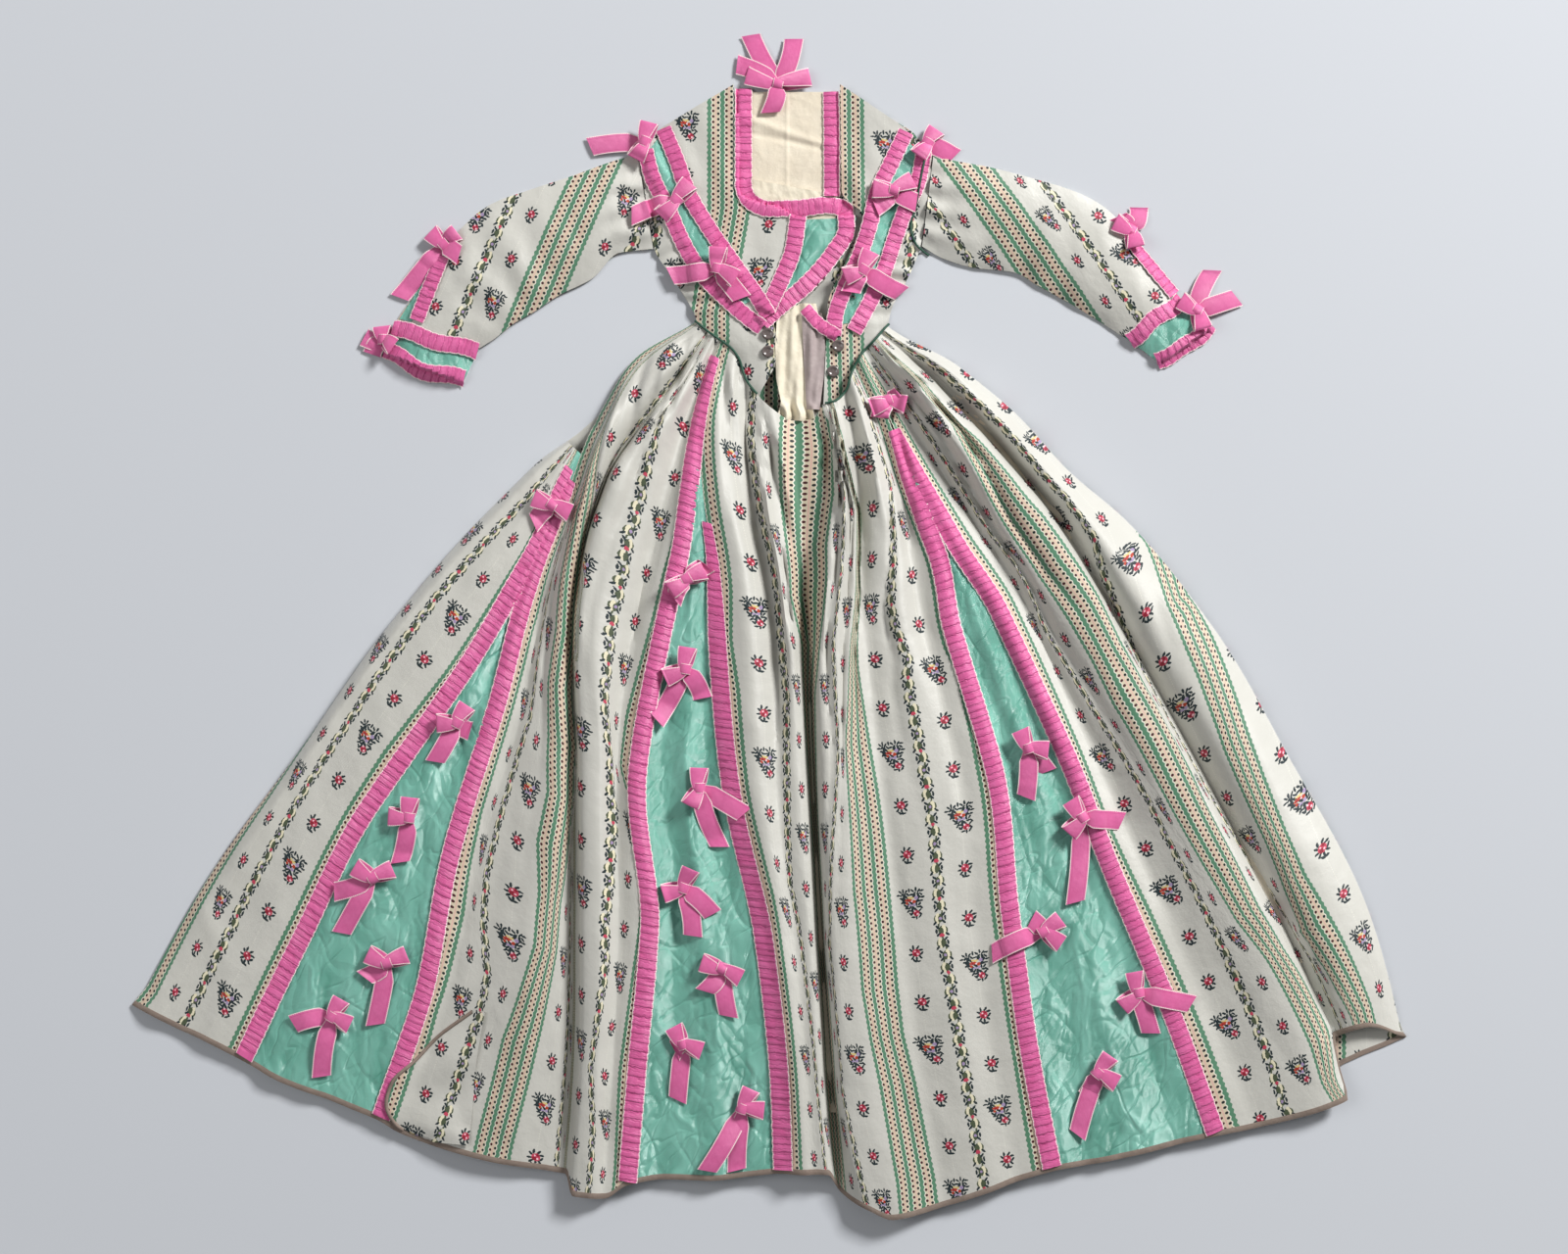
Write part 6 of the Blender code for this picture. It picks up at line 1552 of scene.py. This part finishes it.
def reader(tree, spread=0.0):
    """Heights of what lies under each place."""
    down = Vector((0.0, 0.0, -1.0))
    probes = ((0.0, 0.0), (spread, 0.0), (-spread, 0.0), (0.0, spread), (0.0, -spread))
    probes = probes if spread else probes[:1]

    def height(x, y):
        result = np.zeros(len(x))
        for k, (px, py) in enumerate(zip(x, y)):
            for dx, dy in probes:
                hit = tree.ray_cast(Vector((px + dx, py + dy, PROBE_FROM)), down)[0]
                if hit is not None:
                    result[k] = max(result[k], hit.z)
        return result

    return height


# Ruched ribbons and green strips of the bodice: whether the part has a node for it, and where it runs
BodiceRibbon = namedtuple("BodiceRibbon", "name half node route")
BODICE_RIBBONS = (
    BodiceRibbon("ribbon_neck_left", 10.5, True, (
        (-31, 656), (-31, 537), (-24, 519), (0, 508), (36, 509), (72, 513), (93, 507), (95, 485), (77, 451),
        (46, 415), (8, 383), (-8, 368))),
    BodiceRibbon("ribbon_neck_right", 10.0, True, ((76, 652), (77, 590), (77, 524))),
    BodiceRibbon("ribbon_stomacher", 10.5, True, ((36, 500), (30, 459), (15, 420), (-2, 384))),
    BodiceRibbon("ribbon_robing_left_inner", 10.0, True, (
        (-129, 607), (-112, 566), (-99, 529), (-74, 486), (-44, 442), (-14, 400), (0, 376))),
    BodiceRibbon("ribbon_robing_left_outer", 10.0, True, (
        (-151, 580), (-143, 549), (-123, 508), (-105, 467), (-82, 429), (-50, 396), (-22, 372), (-8, 362))),
    BodiceRibbon("ribbon_robing_right_inner", 10.0, True, (
        (168, 603), (148, 561), (132, 527), (124, 491), (111, 451), (93, 411), (81, 375), (79, 353))),
    BodiceRibbon("ribbon_robing_right_outer", 10.0, True, (
        (190, 580), (183, 543), (167, 507), (154, 471), (142, 435), (126, 399), (104, 358))),
    BodiceRibbon("ribbon_facing", 8.0, False, ((44, 386), (62, 366), (84, 352))),
    BodiceRibbon("ribbon_sleeve_left", 9.5, False, ((-399, 450), (-412, 417), (-430, 371))),
    BodiceRibbon("ribbon_sleeve_right", 8.0, False, ((441, 470), (466, 440), (496, 404))),
)
GreenStrip = namedtuple("GreenStrip", "name node left right")
GREEN_STRIPS = (
    GreenStrip("robing_left", True,
               ((-151, 574), (-143, 549), (-123, 508), (-104, 467), (-80, 428), (-37, 387)),
               ((-131, 601), (-113, 566), (-100, 529), (-75, 486), (-46, 442), (-14, 400))),
    GreenStrip("elbow_left", False,
               ((-412, 443), (-432, 405), (-452, 374)), ((-405, 443), (-418, 405), (-437, 370))),
    GreenStrip("robing_right", True,
               ((166, 595), (148, 561), (133, 527), (125, 491), (112, 451), (83, 366)),
               ((188, 574), (182, 543), (166, 507), (153, 471), (141, 435), (104, 369))),
)


def smooth_route(points, pitch):
    """Close points along a rounded route, and the directions across it."""
    points = np.array(points, float)
    length = run_lengths(points)
    fine = np.linspace(0.0, length[-1], ROUTE_FINENESS)
    rounded = np.stack([table_curve(list(zip(length, points[:, axis])), fine) for axis in (0, 1)], axis=1)
    run = run_lengths(rounded)
    at = np.linspace(0.0, run[-1], max(8, int(run[-1] / pitch)))
    route = np.stack([np.interp(at, run, rounded[:, axis]) for axis in (0, 1)], axis=1)
    along = np.gradient(route, axis=0)
    along = np.stack([smoothed(along[:, axis]) for axis in (0, 1)], axis=1)
    along /= np.linalg.norm(along, axis=1)[:, None]
    return route, np.stack((-along[:, 1], along[:, 0]), axis=1)


# Ruffles of the cuffs: place along the cuff, bulge of the middle, half width, and the swing of their line
RUFFLES = (("upper", 0.12, 0.0), ("lower", 0.93, 7.0))
RUFFLE_HALF = 10.5
RUFFLE_WAVE = 2.2
RUFFLE_TURNS = 9.0
# Green strips: their height over the bodice and their wall
STRIP_LIFT = 1.0
STRIP_WALL = 0.6


def build_bodice_ribbons(materials):
    bodice = reader(ground_tree())
    for strip in GREEN_STRIPS:
        obj = flat_sheet(strip.name + "_silk", (strip.left, strip.right),
                         lambda x, y: bodice(x, y) + STRIP_LIFT, 8, 40, materials["taffeta"], STRIP_WALL)
        place_piece(obj, strip.name if strip.node else None)
    for number, ribbon in enumerate(BODICE_RIBBONS):
        route, sideways = smooth_route(ribbon.route, 1.4)
        height = reader(ground_tree(), 3.0)
        obj = ruched_ribbon(ribbon.name + "_ruched", route, -sideways, ribbon.half, height,
                            materials["ruche"], SEEDS["bodice"] + number)
        place_piece(obj, ribbon.name if ribbon.node else None)
    for side, rows, cuff_end in SLEEVES:
        for label, place, bulge in RUFFLES:
            near, far = np.array(rows[-1][:2]), np.array(cuff_end)
            start, finish = near * (1 - place) + far * place
            outward = far[0] - near[0]
            middle = 0.5 * (start + finish) + bulge * outward / np.linalg.norm(outward)
            route, sideways = smooth_route((start, middle, finish), 1.6)
            height = reader(ground_tree(), 2.0)
            wave = np.sin(np.linspace(0.0, RUFFLE_TURNS, len(route)))[:, None]
            route = route + sideways * RUFFLE_WAVE * wave
            obj = ruched_ribbon("ruffle_" + side + "_" + label, route, -sideways, RUFFLE_HALF, height,
                                materials["ruche"], SEEDS["cuff"] + len(label))
            place_piece(obj, "ribbon_cuff_" + side + "_" + label)


# Bows: whether the part has a node for it, place of the knot in px, turns of the two loops, their length,
# and the ends of the tails in px
Bow = namedtuple("Bow", "name node x y loops reach tails")
BOWS = (
    Bow("neck", True, 794, 87, (168, 12), 40, ((766, 36), (810, 40), (752, 66), (786, 116))),
    Bow("shoulder_left", False, 658, 146, (70, 250), 24, ((602, 150),)),
    Bow("robing_left_1", False, 690, 206, (50, 230), 27, ((645, 222),)),
    Bow("robing_left_2", False, 732, 276, (80, 330), 26, ((684, 282), (757, 306))),
    Bow("shoulder_right", False, 946, 147, (60, 240), 20, ((974, 160),)),
    Bow("robing_right_1", False, 912, 196, (170, 20), 26, ((893, 213), (935, 208))),
    Bow("robing_right_2", False, 880, 277, (60, 200), 24, ((920, 300), (868, 300))),
    Bow("elbow_left", True, 453, 250, (40, 130), 22, ((408, 304), (470, 262))),
    Bow("cuff_left", False, 392, 347, (90, 330), 16, ((372, 344), (380, 362))),
    Bow("elbow_right", False, 1153, 236, (150, 290), 22, ((1162, 212), (1140, 222))),
    Bow("cuff_right", True, 1220, 318, (150, 290), 24, ((1237, 276), (1262, 304))),
    Bow("gore_left_a", False, 566, 517, (150, 330), 24, ((547, 535),)),
    Bow("gore_left_1", True, 470, 736, (60, 190), 24, ((448, 776), (483, 745))),
    Bow("gore_left_b", False, 421, 832, (80, 170), 24, ((412, 878),)),
    Bow("gore_left_2", True, 385, 893, (30, 150), 26, ((352, 950), (345, 908))),
    Bow("gore_left_3", True, 398, 980, (20, 160), 26, ((385, 1044), (375, 995))),
    Bow("gore_left_4", True, 342, 1035, (60, 330), 24, ((302, 1043), (330, 1097))),
    Bow("gore_centre_a", False, 702, 592, (30, 210), 24, ((722, 578), (690, 612))),
    Bow("gore_centre_1", True, 700, 682, (80, 200), 26, ((672, 734), (718, 712))),
    Bow("gore_centre_2", True, 714, 802, (90, 240), 24, ((760, 828), (735, 862))),
    Bow("gore_centre_3", True, 698, 903, (70, 190), 25, ((728, 930), (708, 952))),
    Bow("gore_centre_b", False, 737, 985, (160, 340), 26, ((744, 1034), (720, 1008))),
    Bow("gore_centre_4", True, 698, 1062, (110, 340), 24, ((692, 1120), (690, 1070))),
    Bow("gore_centre_c", False, 758, 1128, (70, 350), 26, ((722, 1192), (752, 1192))),
    Bow("gore_right_a", False, 905, 411, (200, 340), 22, ((897, 428), (918, 405))),
    Bow("gore_right_b", False, 1046, 762, (110, 350), 24, ((1066, 786), (1044, 812))),
    Bow("gore_right_1", True, 1100, 832, (120, 230), 25, ((1142, 836), (1094, 918))),
    Bow("gore_right_2", True, 1062, 948, (30, 320), 26, ((1010, 970), (1050, 935))),
    Bow("gore_right_c", False, 1158, 1010, (100, 220), 26, ((1213, 1022), (1172, 1052))),
    Bow("gore_right_3", True, 1118, 1092, (50, 330), 26, ((1098, 1156), (1106, 1118))),
)
STRIP_COLUMNS = 7
BOW_WALL = 0.45
BOW_STEPS = 22
KNOT_RADIUS = 7.5
KNOT_STEPS = 16


def strip_grid(path, ahead, half, cup):
    """A ribbon along a path in space, lying across the direction ahead and hollowed by a little."""
    across = np.linspace(-1.0, 1.0, STRIP_COLUMNS)
    half = np.broadcast_to(half, (len(path),))
    side = np.array((-ahead[1], ahead[0], 0.0))
    points = path + across[:, None, None] * side * half[:, None]
    points[..., 2] += cup * (1.0 - across[:, None] ** 2)
    uv = np.stack(np.broadcast_arrays(across[:, None] * RIBBON_EDGE, run_lengths(path)), axis=-1)
    return points, uv


def bow_strips(bow, height, seed):
    """The loops, tails and knot of one bow."""
    rng = np.random.default_rng(seed)
    middle = np.array(px_to_plan(bow.x, bow.y))
    base = height(middle[:1], middle[1:])[0]
    steps = np.linspace(0.0, 1.0, BOW_STEPS)
    arch = np.sin(math.pi * steps)
    strips = []

    def places(ahead, out, aside):
        """Places in the plan at distances out from the knot and to its left."""
        return (middle[0] + ahead[0] * out - ahead[1] * aside,
                middle[1] + ahead[1] * out + ahead[0] * aside)

    for number, turn in enumerate(bow.loops):
        turn = math.radians(turn + rng.uniform(-8, 8))
        ahead = (math.cos(turn), math.sin(turn))
        x, y = places(ahead, arch ** 0.85 * bow.reach, (steps - 0.5) * 5.0)
        low = np.maximum(height(x, y), base) + 1.2
        z = low + steps ** 1.3 * (7.5 + number) + 2.4 * arch
        strips.append(strip_grid(np.stack((x, y, z), axis=1), ahead, 4.5 + 7.0 * arch ** 0.55, 1.0))
    for number, end in enumerate(bow.tails):
        way = np.array(px_to_plan(*end)) - middle
        length = np.linalg.norm(way)
        ahead = way / length
        x, y = places(ahead, length * steps, rng.uniform(-4.0, 4.0) * arch)
        lift = 1.4 + 2.6 * np.abs(np.sin(steps * rng.uniform(2.2, 4.2))) + 1.2 * (1 - steps) + 0.9 * number
        half = np.minimum(11.6, 4.5 + 26.0 * steps)
        points, uv = strip_grid(np.stack((x, y, height(x, y) + lift), axis=1), ahead, half, 0.6)
        slant = rng.choice((-1.0, 1.0)) * 0.35
        shift = slant * half[-1] * np.linspace(-1.0, 1.0, STRIP_COLUMNS)[:, None] * steps ** 6
        points[..., 0] += ahead[0] * shift
        points[..., 1] += ahead[1] * shift
        strips.append((points, uv))
    turn = math.radians(bow.loops[0] + 90.0)
    ahead = (math.cos(turn), math.sin(turn))
    arc = np.linspace(-0.15 * math.pi, 1.15 * math.pi, KNOT_STEPS)
    x, y = places(ahead, KNOT_RADIUS * np.cos(arc), 0.0)
    path = np.stack((x, y, base + 4.0 + KNOT_RADIUS * np.sin(arc)), axis=1)
    return strips + [strip_grid(path, ahead, 6.0, 0.8)]


def build_bows(materials):
    height = reader(ground_tree(), 4.0)
    for number, bow in enumerate(BOWS):
        name = "bow_" + bow.name
        strips = bow_strips(bow, height, SEEDS["bow"] + number)
        obj = grids_object(name + "_tied", strips, materials["ribbon"], BOW_WALL)
        place_piece(obj, name if bow.node else None)


BUTTONS = (("button_left_1", 783.5, 342), ("button_left_2", 783.5, 360), ("button_right_1", 855, 354),
           ("button_right_2", 850, 380))
# Turned profile of a button: distance from the middle and height, in millimetres
BUTTON_PROFILE = ((0.01, 2.6), (1.6, 2.5), (3.2, 2.6), (4.4, 3.4), (5.6, 4.0), (6.6, 3.7), (7.3, 2.6),
                  (7.4, 1.2), (6.8, 0.3), (0.01, 0.2))


def build_buttons(materials):
    height = reader(ground_tree(), 4.0)
    turns = np.linspace(0.0, 2.0 * math.pi, 33)
    profile = np.array(BUTTON_PROFILE)
    for name, px, py in BUTTONS:
        x, y = px_to_plan(px, py)
        base = height(np.array([x]), np.array([y]))[0] + 0.2
        points = np.zeros((len(turns), len(profile), 3))
        points[..., 0] = x + profile[None, :, 0] * np.cos(turns)[:, None]
        points[..., 1] = y + profile[None, :, 0] * np.sin(turns)[:, None]
        points[..., 2] = base + profile[None, :, 1]
        points = points[::-1]
        obj = cloth_object(name + "_turned", points, points[..., :2], materials["button"], ground=False)
        place_piece(obj, name)


TUBE_SIDES = 8


def tube(name, path, radius, material):
    """A round cord along a path."""
    path = np.array(path)
    along = np.gradient(path, axis=0)
    along /= np.linalg.norm(along, axis=1)[:, None]
    side = np.cross(along, np.array((0.0, 0.0, 1.0)))
    side /= np.linalg.norm(side, axis=1)[:, None]
    up = np.cross(side, along)
    turns = np.linspace(0.0, 2.0 * math.pi, TUBE_SIDES + 1)
    ring = np.cos(turns)[:, None, None] * side[None] + np.sin(turns)[:, None, None] * up[None]
    points = path[None] + radius * ring
    uv = np.stack(np.broadcast_arrays(turns[:, None], run_lengths(path)), axis=-1)
    return cloth_object(name, points, uv, material, ground=False)


# Piping: its height over the cloth, the angles it spans along the waist, and the armhole's seam in px
PIPING_LIFT = 0.9
WAIST_PIPING = (("piping_left", -42.0, -13.0), ("piping_right", 6.6, 36.0))
ARMHOLE = ((944, 160), (938, 190), (934, 214), (929, 231), (934, 249), (948, 261))


def build_piping(materials):
    """Dark green cord along the pointed waist and round the armhole that shows."""
    height = reader(ground_tree(), 2.0)
    for name, first, last in WAIST_PIPING:
        angle = np.linspace(first, last, 60)
        x, y = fan_to_plan(angle, table_curve(WAIST_SEAM, angle))
        path = np.stack((x, y, smoothed(height(x, y) + PIPING_LIFT)), axis=1)
        place_piece(tube(name, path, 1.5, materials["piping"]))
    route = smooth_route([px_to_plan(*point) for point in ARMHOLE], 4.0)[0]
    path = np.column_stack((route, height(route[:, 0], route[:, 1]) + PIPING_LIFT))
    place_piece(tube("piping_armhole", path, 1.3, materials["piping"]))


# Floor, in metres: half its side and how far it lies under the cloth
FLOOR_HALF = 3.0
FLOOR_DROP = 0.0004
# Camera straight above, in metres, and its lens in millimetres
CAMERA_X = 0.0186
CAMERA_Y = -0.003
CAMERA_Z = 3.5
LENS = 65.6
SENSOR = 36.0
# Name, place, size and power of each lamp
LAMPS = (("key", (5.3, 5.3, 4.5), 1.9, 1040.0), ("fill", (-5.0, 0.8, 4.8), 4.0, 120.0))
WORLD_LIGHT = 0.19


def build_stage():
    scene = bpy.context.scene
    material, _, shader = new_material("floor")
    set_values(shader, {"Base Color": colour(200, 203, 208), "Roughness": 0.9})
    mesh = bpy.data.meshes.new("floor")
    corners = [(x * FLOOR_HALF, y * FLOOR_HALF, -FLOOR_DROP) for x, y in ((-1, -1), (1, -1), (1, 1), (-1, 1))]
    mesh.from_pydata(corners, [], [(0, 1, 2, 3)])
    mesh.materials.append(material)
    link_object("floor", mesh)
    for name, place, size, energy in LAMPS:
        lamp = bpy.data.lights.new(name, "AREA")
        lamp.shape = "SQUARE"
        lamp.size = size
        lamp.energy = energy
        holder = link_object(name, lamp)
        holder.location = place
        holder.rotation_euler = (-Vector(place)).to_track_quat("-Z", "Y").to_euler()
    world = bpy.data.worlds.new("studio")
    world.use_nodes = True
    background = world.node_tree.nodes["Background"]
    set_values(background, {"Color": (0.97, 0.98, 1.0, 1.0), "Strength": WORLD_LIGHT})
    scene.world = world
    scene.view_settings.view_transform = "Standard"
    camera = bpy.data.cameras.new("camera")
    camera.lens = LENS
    camera.sensor_width = SENSOR
    scene.camera = link_object("camera", camera)
    scene.camera.location = (CAMERA_X, CAMERA_Y, CAMERA_Z)


def main():
    build_stage()
    materials = build_materials()
    for build in (build_back, build_skirt, build_hem, build_inner_layers, build_bodice, build_sleeves,
                  build_skirt_ribbons, build_lobe, build_bodice_ribbons, build_buttons, build_bows,
                  build_piping):
        build(materials)


main()
